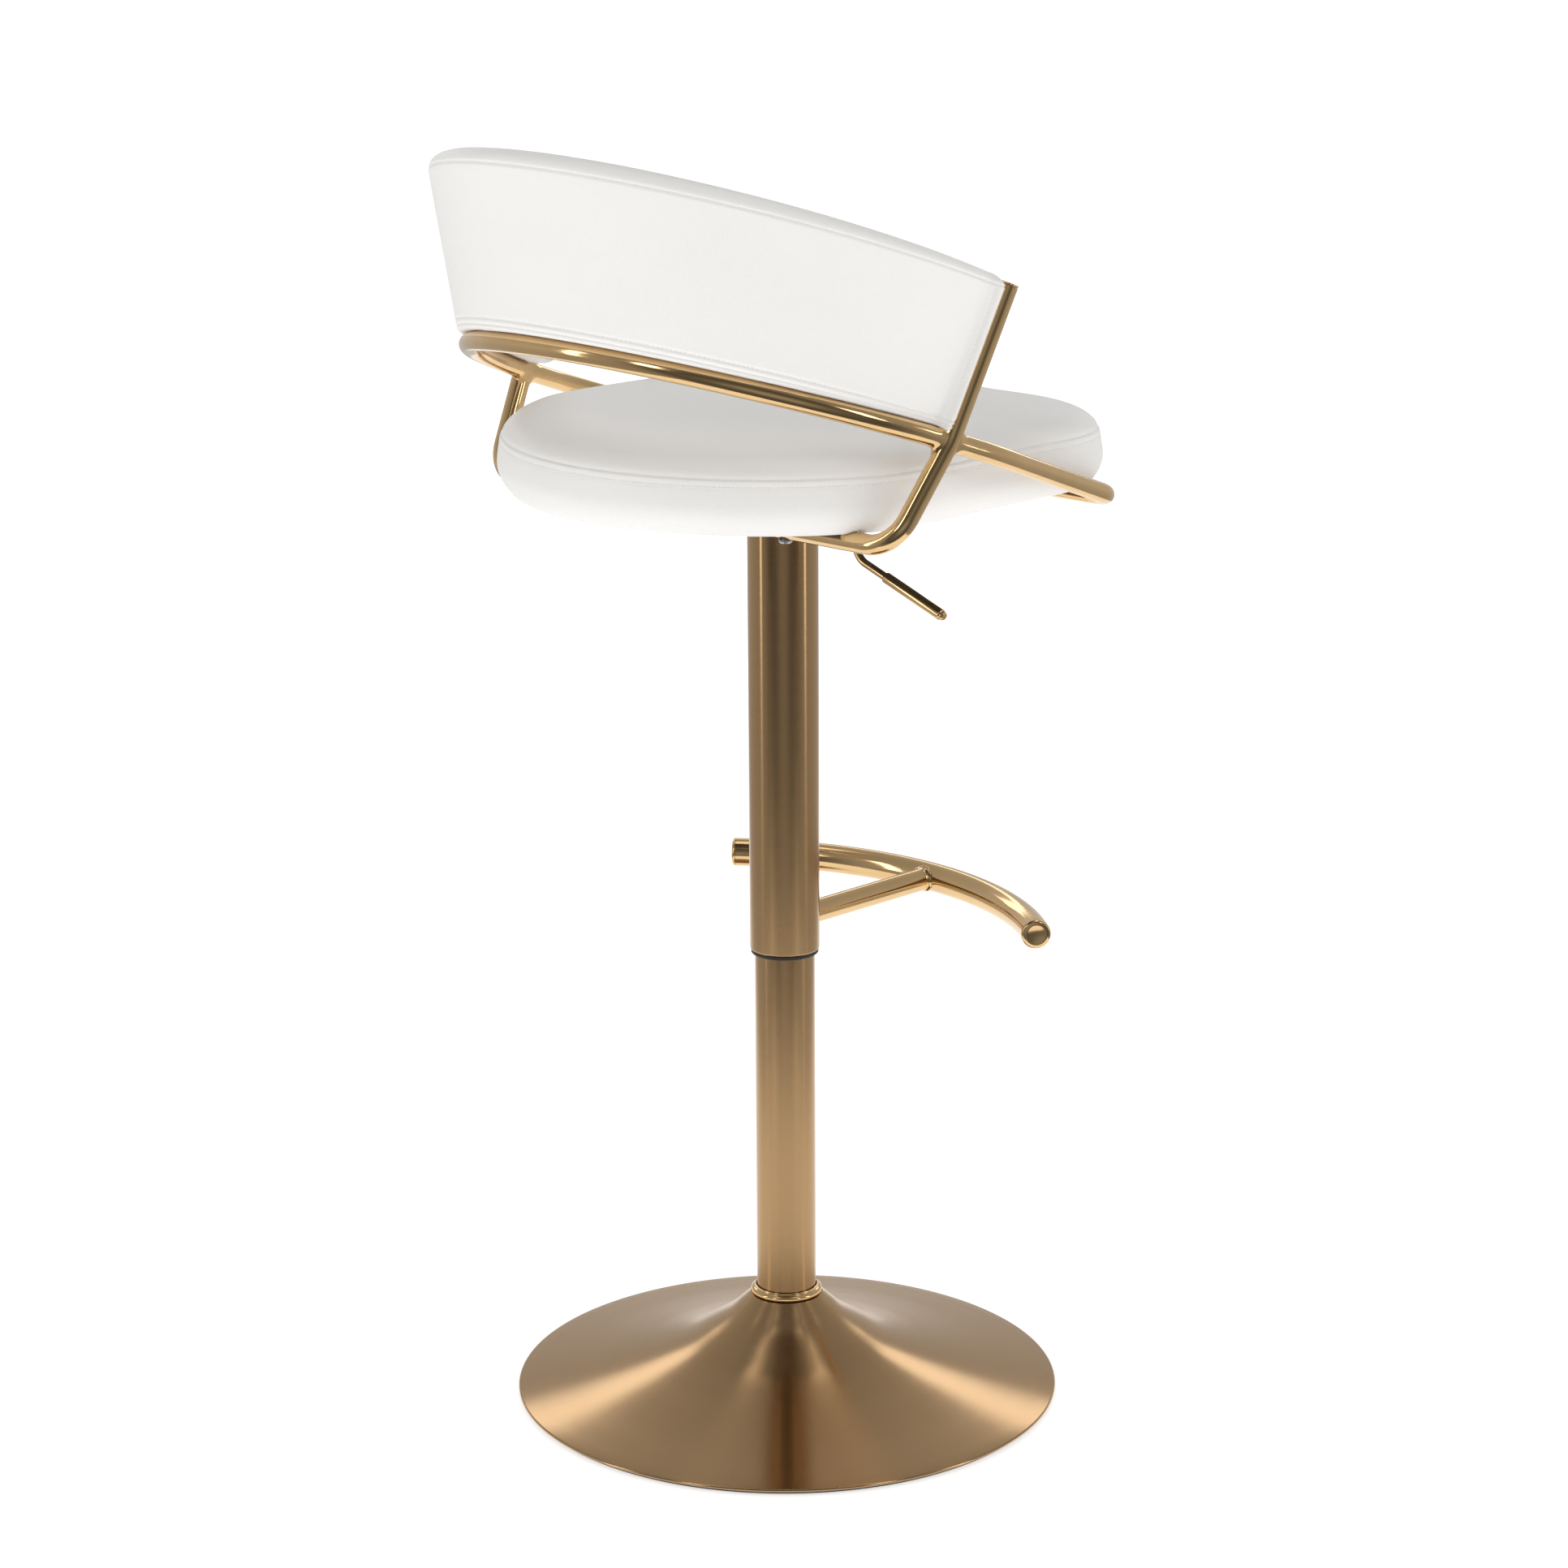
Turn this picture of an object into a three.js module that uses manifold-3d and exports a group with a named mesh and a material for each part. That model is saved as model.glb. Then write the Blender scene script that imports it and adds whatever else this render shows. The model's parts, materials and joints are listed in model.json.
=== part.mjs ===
// Bar stool on a round pedestal: gas-lift column, curved footrest, tube frame and padded seat and back.
// Millimetres, +Z up, and a sitter faces -Y. The origin is on the floor, on the column's axis.
import * as THREE from 'three';
import { mergeVertices } from 'three/addons/utils/BufferGeometryUtils.js';
import Module from 'manifold-3d';

const wasm = await Module();
wasm.setup();

// ---- Driving dimensions -------------------------------------------------------------------------
const FIT = 0.3;                      // gap between touching pieces
const BASE_RADIUS = 225;
const BASE_TOP = 82;                  // where the flared base meets the column collar
const SHELL_THICKNESS = 1.5;
const PAD_THICKNESS = 2;
const WEIGHT_RADIUS = 185;
const WEIGHT_TOP = 10.5;
const FLANGE_RADIUS = 60;
const FLANGE_THICKNESS = 4;
const FLANGE_BOLT_CIRCLE = 42;

const COLUMN_RADIUS = 24.45;
const COLUMN_WALL = 2;
const COLUMN_TOP = 440;
const SLEEVE_RADIUS = 28.4;
const SLEEVE_WALL = 1.5;
const SLEEVE_BOTTOM = 382;
const SLEEVE_TOP = 744.7;
const ROD_RADIUS = 5;
const GAS_RADIUS = 14;
const GAS_BORE = 11;
const GAS_BOTTOM = 262;
const GAS_TOP = 752;
const TAPER_START = 706;              // the cylinder's tapered nose starts here
const NOSE_RADIUS = 13.2;

const FOOT_LEVEL = 405;               // height of the footrest's centre line
const FOOT_ARC = 272;                 // radius of the curved bar
const FOOT_FRONT = -175;              // the bar's foremost point
const FOOT_HALF_SPAN = 172;
const FOOT_TUBE = 12;
const BRACKET_TUBE = 9.5;

const FRAME_TUBE = 7.8;               // all frame tubes have this outer radius
const FRAME_WALL = 1.3;
const AXIS_Y = 10;                    // the hoop and the back curve about this line
const HOOP_SIDE = 240;                // half width of the hoop
const HOOP_REAR = 235;                // from AXIS_Y to the hoop's rearmost centre line
const HOOP_LEVEL = 816;               // hoop height at Y = 0
const HOOP_SLOPE = 0.351;             // the hoop rises towards the back
const RUN_LEVEL = 761;                // centre height of the tubes under the seat
const JOINT = { x: 236.5, y: 62, z: 837.5 };   // where post, rail and arm are welded
const POST_TOP = { x: 254, y: 19, z: 950 };
const POST_FOOT = { x: 221, y: 107 };          // the post's lower corner
const ARM_KNEE = { x: 240, y: 10 };
const ARM_FRONT = { x: 212 };

const SEAT_BOTTOM = 769.1;
const SEAT_TOP = 830;
const SEAT_ARC = 214;                 // plan radius of the seat's round back
const BOARD_BOTTOM = 770.2;
const BOARD_THICKNESS = 12;
const BOARD_INSET = 14;

const BACK_RADIUS = 246;              // outer face of the back pad at BACK_DATUM
const BACK_DATUM = 892;
const BACK_FLARE = 0.15;              // how much the back opens out with height
const BACK_LOW_ANGLE = 78.2;          // half angle at the back's lower edge, degrees
const BACK_HIGH_ANGLE = 88;
const BACK_TOP_LEVEL = 949;           // top edge height at Y = 0
const BACK_TOP_SLOPE = 0.365;
const BACK_CLEAR = 9;                 // lower edge above the rail's centre line

const PLATE_LEVEL = 765.8;            // underside of the mounting plate
const PLATE_THICKNESS = 3;
const HOUSING = { length: 110, width: 70, bottom: 745, wall: 2.5 };
const PIVOT = { x: -32, z: 757 };     // lever pivot

// ---- Finishes -----------------------------------------------------------------------------------
const finish = (color, roughness, metalness) =>
  new THREE.MeshStandardMaterial({ color, roughness, metalness });
const BRUSHED_GOLD = finish(0x9a8158, 0.35, 1);
const POLISHED_GOLD = finish(0xc8a262, 0.15, 1);
const STEEL = finish(0x9c9c9e, 0.4, 1);
const IRON = finish(0x3a3a3c, 0.7, 0.6);
const BLACK_PLASTIC = finish(0x1b1b1c, 0.5, 0);
const PLYWOOD = finish(0xb08d5e, 0.7, 0);
const WHITE_LEATHER = finish(0xebe8e3, 0.5, 0);
const DARK_FELT = finish(0x222224, 0.9, 0);

// Sides of round sections: large turned pieces, middling ones and small ones.
const LARGE = 36;
const MIDDLE = 24;
const SMALL = 12;
const TUBE_HALF = 5;                  // half the number of sides of a bent tube

// ---- Building helpers ---------------------------------------------------------------------------
const stool = new THREE.Group();

function piece(name, geometry, material, parent = stool) {
  const mesh = new THREE.Mesh(geometry, material);
  mesh.name = name;
  parent.add(mesh);
  return mesh;
}

const vector = (x, y, z) => new THREE.Vector3(x, y, z);
const lerp = THREE.MathUtils.lerp;
const radians = THREE.MathUtils.degToRad;

// A turned piece about Z from [radius, height] pairs; the profile closes on itself or on the axis.
function turned(profile, sides = MIDDLE) {
  const points = profile.map(([radius, height]) => new THREE.Vector2(radius, height));
  if (THREE.ShapeUtils.area(points) < 0) points.reverse();
  const onAxis = points[0].x === 0 && points.at(-1).x === 0;
  if (!onAxis) points.push(points[0].clone());
  return new THREE.LatheGeometry(points, sides).rotateX(Math.PI / 2);
}

const ring = (inner, outer, bottom, top, sides) =>
  turned([[inner, bottom], [outer, bottom], [outer, top], [inner, top]], sides);
const bar = (radius, bottom, top, sides) =>
  turned([[0, bottom], [radius, bottom], [radius, top], [0, top]], sides);

function disc(radius, holes = []) {
  const shape = new THREE.Shape().absarc(0, 0, radius, 0, 2 * Math.PI);
  for (const [x, y, r] of holes) shape.holes.push(new THREE.Path().absarc(x, y, r, 0, 2 * Math.PI, true));
  return shape;
}

const slab = (shape, bottom, top, curveSegments = 8) =>
  new THREE.ExtrudeGeometry(shape, { depth: top - bottom, bevelEnabled: false, curveSegments })
    .translate(0, 0, bottom);

function solid(geometry) {
  const bare = geometry.clone();
  bare.deleteAttribute('normal');
  bare.deleteAttribute('uv');
  const merged = mergeVertices(bare, 1e-4);
  return new wasm.Manifold(new wasm.Mesh({
    numProp: 3,
    vertProperties: new Float32Array(merged.attributes.position.array),
    triVerts: Uint32Array.from(merged.index.array),
  }));
}

// Takes the tools away from the blank and gives the rest back as a geometry.
function cut(blank, ...tools) {
  let rest = solid(blank);
  for (const tool of tools) rest = rest.subtract(solid(tool));
  const mesh = rest.getMesh();
  const geometry = new THREE.BufferGeometry();
  geometry.setAttribute('position', new THREE.BufferAttribute(new Float32Array(mesh.vertProperties), 3));
  geometry.setIndex(new THREE.BufferAttribute(new Uint32Array(mesh.triVerts), 1));
  geometry.computeVertexNormals();
  return geometry;
}

// ---- Curves for bent tubes ----------------------------------------------------------------------
// A circular bend of the given radius in the corner b, coming from a and leaving towards c.
class Bend extends THREE.Curve {
  constructor(a, b, c, radius) {
    super();
    this.along = b.clone().sub(a).normalize();
    const leaving = c.clone().sub(b).normalize();
    this.turn = this.along.angleTo(leaving);
    this.radius = radius;
    this.inward = leaving.clone().addScaledVector(this.along, -this.along.dot(leaving)).normalize();
    const setback = radius * Math.tan(this.turn / 2);
    this.start = b.clone().addScaledVector(this.along, -setback);
    this.end = b.clone().addScaledVector(leaving, setback);
    this.centre = this.start.clone().addScaledVector(this.inward, radius);
  }

  getPoint(t, target = new THREE.Vector3()) {
    const angle = t * this.turn;
    return target.copy(this.centre)
      .addScaledVector(this.inward, -this.radius * Math.cos(angle))
      .addScaledVector(this.along, this.radius * Math.sin(angle));
  }
}

// Stretches laid end to end, each with its own number of steps.
class Run extends THREE.Curve {
  constructor(stretches) {
    super();
    this.stretches = stretches;
    this.steps = stretches.reduce((sum, stretch) => sum + stretch.steps, 0);
  }

  locate(t) {
    let step = t * this.steps;
    for (const stretch of this.stretches) {
      if (step <= stretch.steps + 1e-9) return [stretch.curve, Math.min(step / stretch.steps, 1)];
      step -= stretch.steps;
    }
    return [this.stretches.at(-1).curve, 1];
  }

  getPoint(t, target = new THREE.Vector3()) {
    const [curve, local] = this.locate(t);
    return target.copy(curve.getPoint(local));
  }

  getPointAt(t, target) {
    return this.getPoint(t, target);
  }

  getTangentAt(t, target = new THREE.Vector3()) {
    const [curve, local] = this.locate(t);
    return target.copy(curve.getTangent(local));
  }
}

// Straight stretches between corners, with a bend of the given radius in each inner corner.
function bentRun(corners, radii, bendSteps = 5) {
  const stretches = [];
  let from = corners[0];
  radii.forEach((radius, i) => {
    const bend = new Bend(corners[i], corners[i + 1], corners[i + 2], radius);
    stretches.push({ curve: new THREE.LineCurve3(from, bend.start), steps: 1 });
    stretches.push({ curve: bend, steps: bendSteps });
    from = bend.end;
  });
  stretches.push({ curve: new THREE.LineCurve3(from, corners.at(-1)), steps: 1 });
  return new Run(stretches);
}

// A plan curve lifted to the height that its Y gives.
class Lifted extends THREE.Curve {
  constructor(plan, height) {
    super();
    this.plan = plan;
    this.height = height;
  }

  getPoint(t, target = new THREE.Vector3()) {
    const { x, y } = this.plan.getPoint(t);
    return target.set(x, y, this.height(y));
  }
}

function tube(run, radius, wall = 0, curveSegments = TUBE_HALF) {
  const section = new THREE.Shape().absarc(0, 0, radius, 0, 2 * Math.PI);
  if (wall) section.holes.push(new THREE.Path().absarc(0, 0, radius - wall, 0, 2 * Math.PI, true));
  return new THREE.ExtrudeGeometry(section, { steps: run.steps, extrudePath: run, curveSegments });
}

const hoopHeight = (y) => HOOP_LEVEL + HOOP_SLOPE * y;
const mirrored = (corners) => corners.concat(corners.map((p) => vector(-p.x, p.y, p.z)).reverse());

// ---- Pedestal -----------------------------------------------------------------------------------
const boltPlaces = [0, 1, 2, 3].map((i) => Math.PI / 4 + i * Math.PI / 2)
  .map((angle) => [FLANGE_BOLT_CIRCLE * Math.cos(angle), FLANGE_BOLT_CIRCLE * Math.sin(angle)]);

// Outer line of the flared base, from the rim to the collar.
const FLARE = [
  [BASE_RADIUS - 2, PAD_THICKNESS + FIT], [BASE_RADIUS, PAD_THICKNESS + 1.5], [BASE_RADIUS - 1, 5],
  [212, 7.6], [200, 10], [170, 16.2], [140, 23.5], [112, 31.5], [87, 41], [66, 53],
  [50, 63.5], [39, 73.5], [32, BASE_TOP - 2], [30, BASE_TOP],
];

function pedestal() {
  piece('floor_pad', slab(disc(BASE_RADIUS - 4), 0, PAD_THICKNESS, LARGE / 2), BLACK_PLASTIC);

  const holes = boltPlaces.map(([x, y]) => [x, y, 3.4]);
  piece('base_weight', slab(disc(WEIGHT_RADIUS, holes), PAD_THICKNESS + FIT, WEIGHT_TOP), IRON);

  const inside = FLARE.slice(3).filter((_, i) => i % 2 === 0)
    .map(([r, z]) => [r - 0.9 * SHELL_THICKNESS, z - SHELL_THICKNESS]).reverse();
  const lip = [[COLUMN_RADIUS + FIT + 0.3, BASE_TOP], [COLUMN_RADIUS + FIT + 0.3, BASE_TOP - SHELL_THICKNESS]];
  const rimInside = [[BASE_RADIUS - 4, PAD_THICKNESS + 2], [BASE_RADIUS - 4, PAD_THICKNESS + FIT]];
  piece('base_shell', turned([...FLARE, ...lip, ...inside, ...rimInside], LARGE), BRUSHED_GOLD);

  const bead = BASE_TOP + FIT;
  const collar = [[25, bead], [28.6, bead], [29.6, bead + 1.8], [29.3, bead + 3.8], [27.8, bead + 5],
    [26.6, bead + 5.6], [26.2, bead + 7], [25, bead + 7]];
  piece('base_collar', turned(collar), POLISHED_GOLD);

  const flangeBottom = WEIGHT_TOP + FIT;
  const flangeTop = flangeBottom + FLANGE_THICKNESS;
  const flange = disc(FLANGE_RADIUS, [[0, 0, 12], ...holes]);
  piece('column_flange', slab(flange, flangeBottom, flangeTop, 6), STEEL);

  const tubeBottom = flangeTop + FIT;
  piece('column_tube', ring(COLUMN_RADIUS - COLUMN_WALL, COLUMN_RADIUS, tubeBottom, COLUMN_TOP, LARGE), BRUSHED_GOLD);

  const bolt = turned([[0, 4], [3, 4], [3, tubeBottom], [6.5, tubeBottom], [6.5, tubeBottom + 4.5],
    [5.5, tubeBottom + 5], [0, tubeBottom + 5]], 8);
  boltPlaces.forEach(([x, y], i) => piece(`flange_bolt_${i + 1}`, bolt, STEEL).position.set(x, y, 0));

  const seatRadius = COLUMN_RADIUS - COLUMN_WALL - FIT;
  const rodHole = ROD_RADIUS + FIT;
  piece('rod_seat', ring(rodHole, seatRadius, tubeBottom, 22), STEEL);
  piece('thrust_washer_lower', ring(rodHole, 12, 22.3, 23.8), STEEL);
  piece('thrust_bearing_cage', ring(rodHole, 11.5, 24.1, 27.1), STEEL);

  const lipRadius = COLUMN_RADIUS - 0.2;
  const bush = [[GAS_RADIUS + FIT, 392], [seatRadius, 392], [seatRadius, COLUMN_TOP + FIT],
    [lipRadius, COLUMN_TOP + FIT], [lipRadius, COLUMN_TOP + 3], [GAS_RADIUS + FIT, COLUMN_TOP + 3]];
  piece('guide_bushing', turned(bush), BLACK_PLASTIC);
}

// ---- Gas lift -----------------------------------------------------------------------------------
const PISTON = { bottom: GAS_BOTTOM + 9, top: GAS_BOTTOM + 19 };
const GROOVE = { radius: 3.5, bottom: 12.1, top: 14 };

function gasLift() {
  const rod = [[0, 11.2], [ROD_RADIUS, 11.2], [ROD_RADIUS, GROOVE.bottom], [GROOVE.radius, GROOVE.bottom],
    [GROOVE.radius, GROOVE.top], [ROD_RADIUS, GROOVE.top], [ROD_RADIUS, 29.2], [7, 29.2], [7, 40],
    [ROD_RADIUS, 40], [ROD_RADIUS, PISTON.bottom], [GAS_BORE - FIT, PISTON.bottom],
    [GAS_BORE - FIT, PISTON.top], [0, PISTON.top]];
  piece('piston_rod', turned(rod, 16), STEEL);
  piece('thrust_washer_upper', ring(ROD_RADIUS + FIT, 12, 27.4, 28.9), STEEL);

  const gap = 0.5;
  const clip = new THREE.Shape()
    .absarc(0, 0, 8.5, gap, 2 * Math.PI - gap)
    .absarc(0, 0, GROOVE.radius + FIT, 2 * Math.PI - gap, gap, true);
  piece('retaining_clip', slab(clip, GROOVE.bottom + 0.2, GROOVE.top - 0.4), STEEL);

  const gland = ROD_RADIUS + FIT;
  const valveHole = 3.3;
  const boreTop = 640;
  const cylinder = [[gland, GAS_BOTTOM], [GAS_RADIUS, GAS_BOTTOM], [GAS_RADIUS, TAPER_START],
    [NOSE_RADIUS, GAS_TOP], [valveHole, GAS_TOP], [valveHole, boreTop], [GAS_BORE, boreTop],
    [GAS_BORE, GAS_BOTTOM + 6], [gland, GAS_BOTTOM + 6]];
  piece('gas_cylinder', turned(cylinder), STEEL);
  const buttonTop = GAS_TOP + 9;
  const button = [[0, boreTop + 1], [3, boreTop + 1], [3, GAS_TOP + 4.5], [5, GAS_TOP + 4.5],
    [5, buttonTop - 1], [4, buttonTop], [0, buttonTop]];
  piece('valve_button', turned(button, SMALL), STEEL);

  const inner = SLEEVE_RADIUS - SLEEVE_WALL;
  const sleeve = [[inner, SLEEVE_BOTTOM], [SLEEVE_RADIUS - 0.8, SLEEVE_BOTTOM], [SLEEVE_RADIUS, SLEEVE_BOTTOM + 0.9],
    [SLEEVE_RADIUS, SLEEVE_TOP], [inner, SLEEVE_TOP]];
  piece('sleeve', turned(sleeve, LARGE), BRUSHED_GOLD);
  const bushing = [[COLUMN_RADIUS + FIT, SLEEVE_BOTTOM - 3.1], [SLEEVE_RADIUS - 0.8, SLEEVE_BOTTOM - 3.1],
    [SLEEVE_RADIUS - 0.8, SLEEVE_BOTTOM - FIT], [inner - FIT, SLEEVE_BOTTOM - FIT],
    [inner - FIT, SLEEVE_BOTTOM + 10], [COLUMN_RADIUS + FIT, SLEEVE_BOTTOM + 10]];
  piece('sleeve_bushing', turned(bushing), BLACK_PLASTIC);

  const socketRadius = 19;
  const socket = [[GAS_RADIUS + FIT, TAPER_START + 6], [socketRadius, TAPER_START + 6], [socketRadius, GAS_TOP - 2],
    [NOSE_RADIUS + 0.4, GAS_TOP - 2]];
  piece('taper_socket', turned(socket), STEEL);
  piece('sleeve_cap', ring(socketRadius + FIT, inner - FIT, 733, SLEEVE_TOP - 0.5), BLACK_PLASTIC);
}

// ---- Seat mechanism -----------------------------------------------------------------------------
function roundedRectangle(halfX, halfY, radius) {
  return new THREE.Shape()
    .absarc(halfX - radius, halfY - radius, radius, 0, Math.PI / 2)
    .absarc(radius - halfX, halfY - radius, radius, Math.PI / 2, Math.PI)
    .absarc(radius - halfX, radius - halfY, radius, Math.PI, 1.5 * Math.PI)
    .absarc(halfX - radius, radius - halfY, radius, 1.5 * Math.PI, 2 * Math.PI);
}

const plateBolts = [[65, 75], [-65, 75], [-65, -75], [65, -75]];
const runBolts = [[110, POST_FOOT.y], [-110, POST_FOOT.y]];
const boardTop = BOARD_BOTTOM + BOARD_THICKNESS;

function mechanism() {
  const plate = roundedRectangle(85, 95, 12);
  for (const [x, y] of plateBolts) plate.holes.push(new THREE.Path().absarc(x, y, 4.3, 0, 2 * Math.PI, true));
  piece('mounting_plate', slab(plate, PLATE_LEVEL, PLATE_LEVEL + PLATE_THICKNESS, 4), IRON);

  const { length, width, bottom, wall } = HOUSING;
  const top = PLATE_LEVEL - FIT;
  const half = width / 2;
  const channel = new THREE.Shape([
    [-half, bottom], [half, bottom], [half, top], [half - wall, top],
    [half - wall, bottom + wall], [wall - half, bottom + wall], [wall - half, top], [-half, top],
  ].map(([y, z]) => new THREE.Vector2(y, z)));
  const pressed = new THREE.ExtrudeGeometry(channel, { depth: length, bevelEnabled: false })
    .rotateY(Math.PI / 2).rotateX(Math.PI / 2).translate(-length / 2, 0, 0);
  const socketHole = bar(19.3, bottom - 5, bottom + 5);
  const pinHole = bar(2.8, -width, width, SMALL).rotateX(Math.PI / 2).translate(PIVOT.x, 0, PIVOT.z);
  piece('mechanism_housing', cut(pressed, socketHole, pinHole), IRON);

  const pin = turned([[0, -half - 2.5], [4, -half - 2.5], [4, -half - FIT], [2.5, -half - FIT],
    [2.5, half + 3], [0, half + 3]], SMALL).rotateX(-Math.PI / 2);
  piece('lever_pivot_pin', pin, STEEL).position.set(PIVOT.x, 0, PIVOT.z);

  const head = PLATE_LEVEL - FIT;
  const bolt = turned([[0, head - 5], [6.5, head - 5], [6.5, head], [3.9, head],
    [3.9, boardTop - 2], [0, boardTop - 2]], SMALL);
  plateBolts.forEach(([x, y], i) => piece(`plate_bolt_${i + 1}`, bolt, STEEL).position.set(x, y, 0));
}

function lever() {
  const rocker = new THREE.Shape([
    [2.5, 761.4], [2.5, 764], [-22, 764.4], [-33, 763.6], [-45, 760.6],
    [-45, 753], [-27, 752], [-14, 757.5], [-7, 761.4],
  ].map(([x, z]) => new THREE.Vector2(x, z)));
  rocker.holes.push(new THREE.Path().absarc(PIVOT.x, PIVOT.z, 2.8, 0, 2 * Math.PI, true));
  const thickness = 16;
  const plate = new THREE.ExtrudeGeometry(rocker, { depth: thickness, bevelEnabled: false, curveSegments: 6 })
    .rotateX(Math.PI / 2).translate(0, thickness / 2, 0);
  piece('lever_rocker', plate, STEEL);

  const gripStart = vector(-113, 0, 707);
  const gripEnd = vector(-175, 0, 685);
  const rodEnd = gripStart.clone().lerp(gripEnd, 0.9);
  const rod = bentRun([vector(-45.4, 0, 756.5), vector(-72, 0, 756), vector(-84, 0, 717.3), rodEnd], [12, 16], 5);
  piece('lever_rod', tube(rod, 3.25, 0, 5), POLISHED_GOLD);

  const length = gripStart.distanceTo(gripEnd);
  const grip = turned([[3.55, 0], [4.2, 0], [4.5, 0.6], [4.5, length - 2.5], [3.6, length - 0.7], [1.8, length],
    [0, length], [0, length * 0.9 + FIT], [3.55, length * 0.9 + FIT]], SMALL);
  const handle = piece('lever_grip', grip, POLISHED_GOLD);
  handle.position.copy(gripStart);
  handle.quaternion.setFromUnitVectors(vector(0, 0, 1), gripEnd.clone().sub(gripStart).normalize());
}

// ---- Footrest -----------------------------------------------------------------------------------
function footrest() {
  const reach = Math.asin(FOOT_HALF_SPAN / FOOT_ARC);
  const ahead = -Math.PI / 2;
  const plan = new THREE.EllipseCurve(0, FOOT_FRONT + FOOT_ARC, FOOT_ARC, FOOT_ARC, ahead - reach, ahead + reach);
  const curve = new Lifted(plan, () => FOOT_LEVEL);
  const run = new Run([{ curve, steps: 16 }]);
  piece('footrest_bar', tube(run, FOOT_TUBE, 1.5), POLISHED_GOLD);

  const ends = [['right', 1], ['left', 0]];
  for (const [side, t] of ends) {
    const outward = curve.getTangent(t).multiplyScalar(t ? 1 : -1);
    const cap = turned([[0, -7], [9.5, -7], [9.5, FIT], [FOOT_TUBE, FIT], [FOOT_TUBE, 1.6],
      [10.8, 3.2], [6.4, 3.6], [5.2, 3], [0, 2.8]], SMALL);
    const mesh = piece(`footrest_cap_${side}`, cap, POLISHED_GOLD);
    mesh.position.copy(curve.getPoint(t));
    mesh.quaternion.setFromUnitVectors(vector(0, 0, 1), outward);
  }

  const line = new THREE.LineCurve3(vector(0, -20, FOOT_LEVEL), vector(0, FOOT_FRONT, FOOT_LEVEL));
  const straight = new Run([{ curve: line, steps: 1 }]);
  const column = bar(SLEEVE_RADIUS + FIT, FOOT_LEVEL - 30, FOOT_LEVEL + 30, LARGE);
  const grownBar = tube(run, FOOT_TUBE + FIT);
  piece('footrest_bracket', cut(tube(straight, BRACKET_TUBE, 1.5), column, grownBar), POLISHED_GOLD);
}

// ---- Frame tubes --------------------------------------------------------------------------------
const at = ({ x, y, z }) => vector(x, y, z);
const postTop = at(POST_TOP);
const postJoint = at(JOINT);
const carrierFrom = (top) =>
  bentRun(mirrored([top, postJoint, vector(POST_FOOT.x, POST_FOOT.y, RUN_LEVEL)]), [60, 30, 30, 60], 4);
const carrierRun = carrierFrom(postTop);
// The space that the carrier and its end plugs need in the pieces around them.
const carrierRoom = () => {
  const beyond = postJoint.clone().lerp(postTop, 1.04);
  return tube(carrierFrom(beyond), FRAME_TUBE + 2.5 * FIT);
};

const frontY = (RUN_LEVEL - HOOP_LEVEL) / HOOP_SLOPE;
const hoopPoint = (x, y) => vector(x, y, hoopHeight(y));
const jointAngle = Math.asin((JOINT.y - AXIS_Y) / HOOP_REAR);
const hoopJointX = HOOP_SIDE * Math.cos(jointAngle);
const armRun = bentRun(
  mirrored([hoopPoint(hoopJointX, JOINT.y - 3), hoopPoint(ARM_KNEE.x, ARM_KNEE.y), hoopPoint(ARM_FRONT.x, frontY)]),
  [150, 31, 31, 150], 4);
const railPlan = new THREE.EllipseCurve(0, AXIS_Y, HOOP_SIDE, HOOP_REAR, jointAngle, Math.PI - jointAngle);
const railRun = new Run([{ curve: new Lifted(railPlan, hoopHeight), steps: 22 }]);
const frameBolts = [...runBolts, [90, frontY], [-90, frontY]];

function frame() {
  const drills = frameBolts.map(([x, y]) => bar(3.4, RUN_LEVEL - 12, RUN_LEVEL + 12, 8).translate(x, y, 0));
  const grownPosts = carrierRoom();
  piece('carrier_tube', cut(tube(carrierRun, FRAME_TUBE, FRAME_WALL), ...drills.slice(0, 2)), POLISHED_GOLD);
  piece('back_rail_tube', cut(tube(railRun, FRAME_TUBE, FRAME_WALL), grownPosts), POLISHED_GOLD);
  piece('arm_loop_tube', cut(tube(armRun, FRAME_TUBE, FRAME_WALL), grownPosts, ...drills.slice(2)), POLISHED_GOLD);

  for (const [side, t] of [['right', 0], ['left', 1]]) {
    const outward = carrierRun.getTangentAt(t).multiplyScalar(t ? 1 : -1);
    const stem = FRAME_TUBE - FRAME_WALL - 2 * FIT;
    const plug = turned([[0, -8], [stem, -8], [stem, FIT],
      [FRAME_TUBE, FIT], [FRAME_TUBE, 1.4], [FRAME_TUBE - 0.8, 2], [0, 2]], SMALL);
    const mesh = piece(`post_plug_${side}`, plug, POLISHED_GOLD);
    mesh.position.copy(carrierRun.getPoint(t));
    mesh.quaternion.setFromUnitVectors(vector(0, 0, 1), outward);
  }

  const head = RUN_LEVEL - FRAME_TUBE - FIT;
  const bolt = turned([[0, head - 3], [4, head - 3], [5.5, head - 1.5], [5.5, head], [3, head],
    [3, boardTop - 2], [0, boardTop - 2]], SMALL);
  frameBolts.forEach(([x, y], i) => piece(`frame_bolt_${i + 1}`, bolt, STEEL).position.set(x, y, 0));
}

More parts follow.
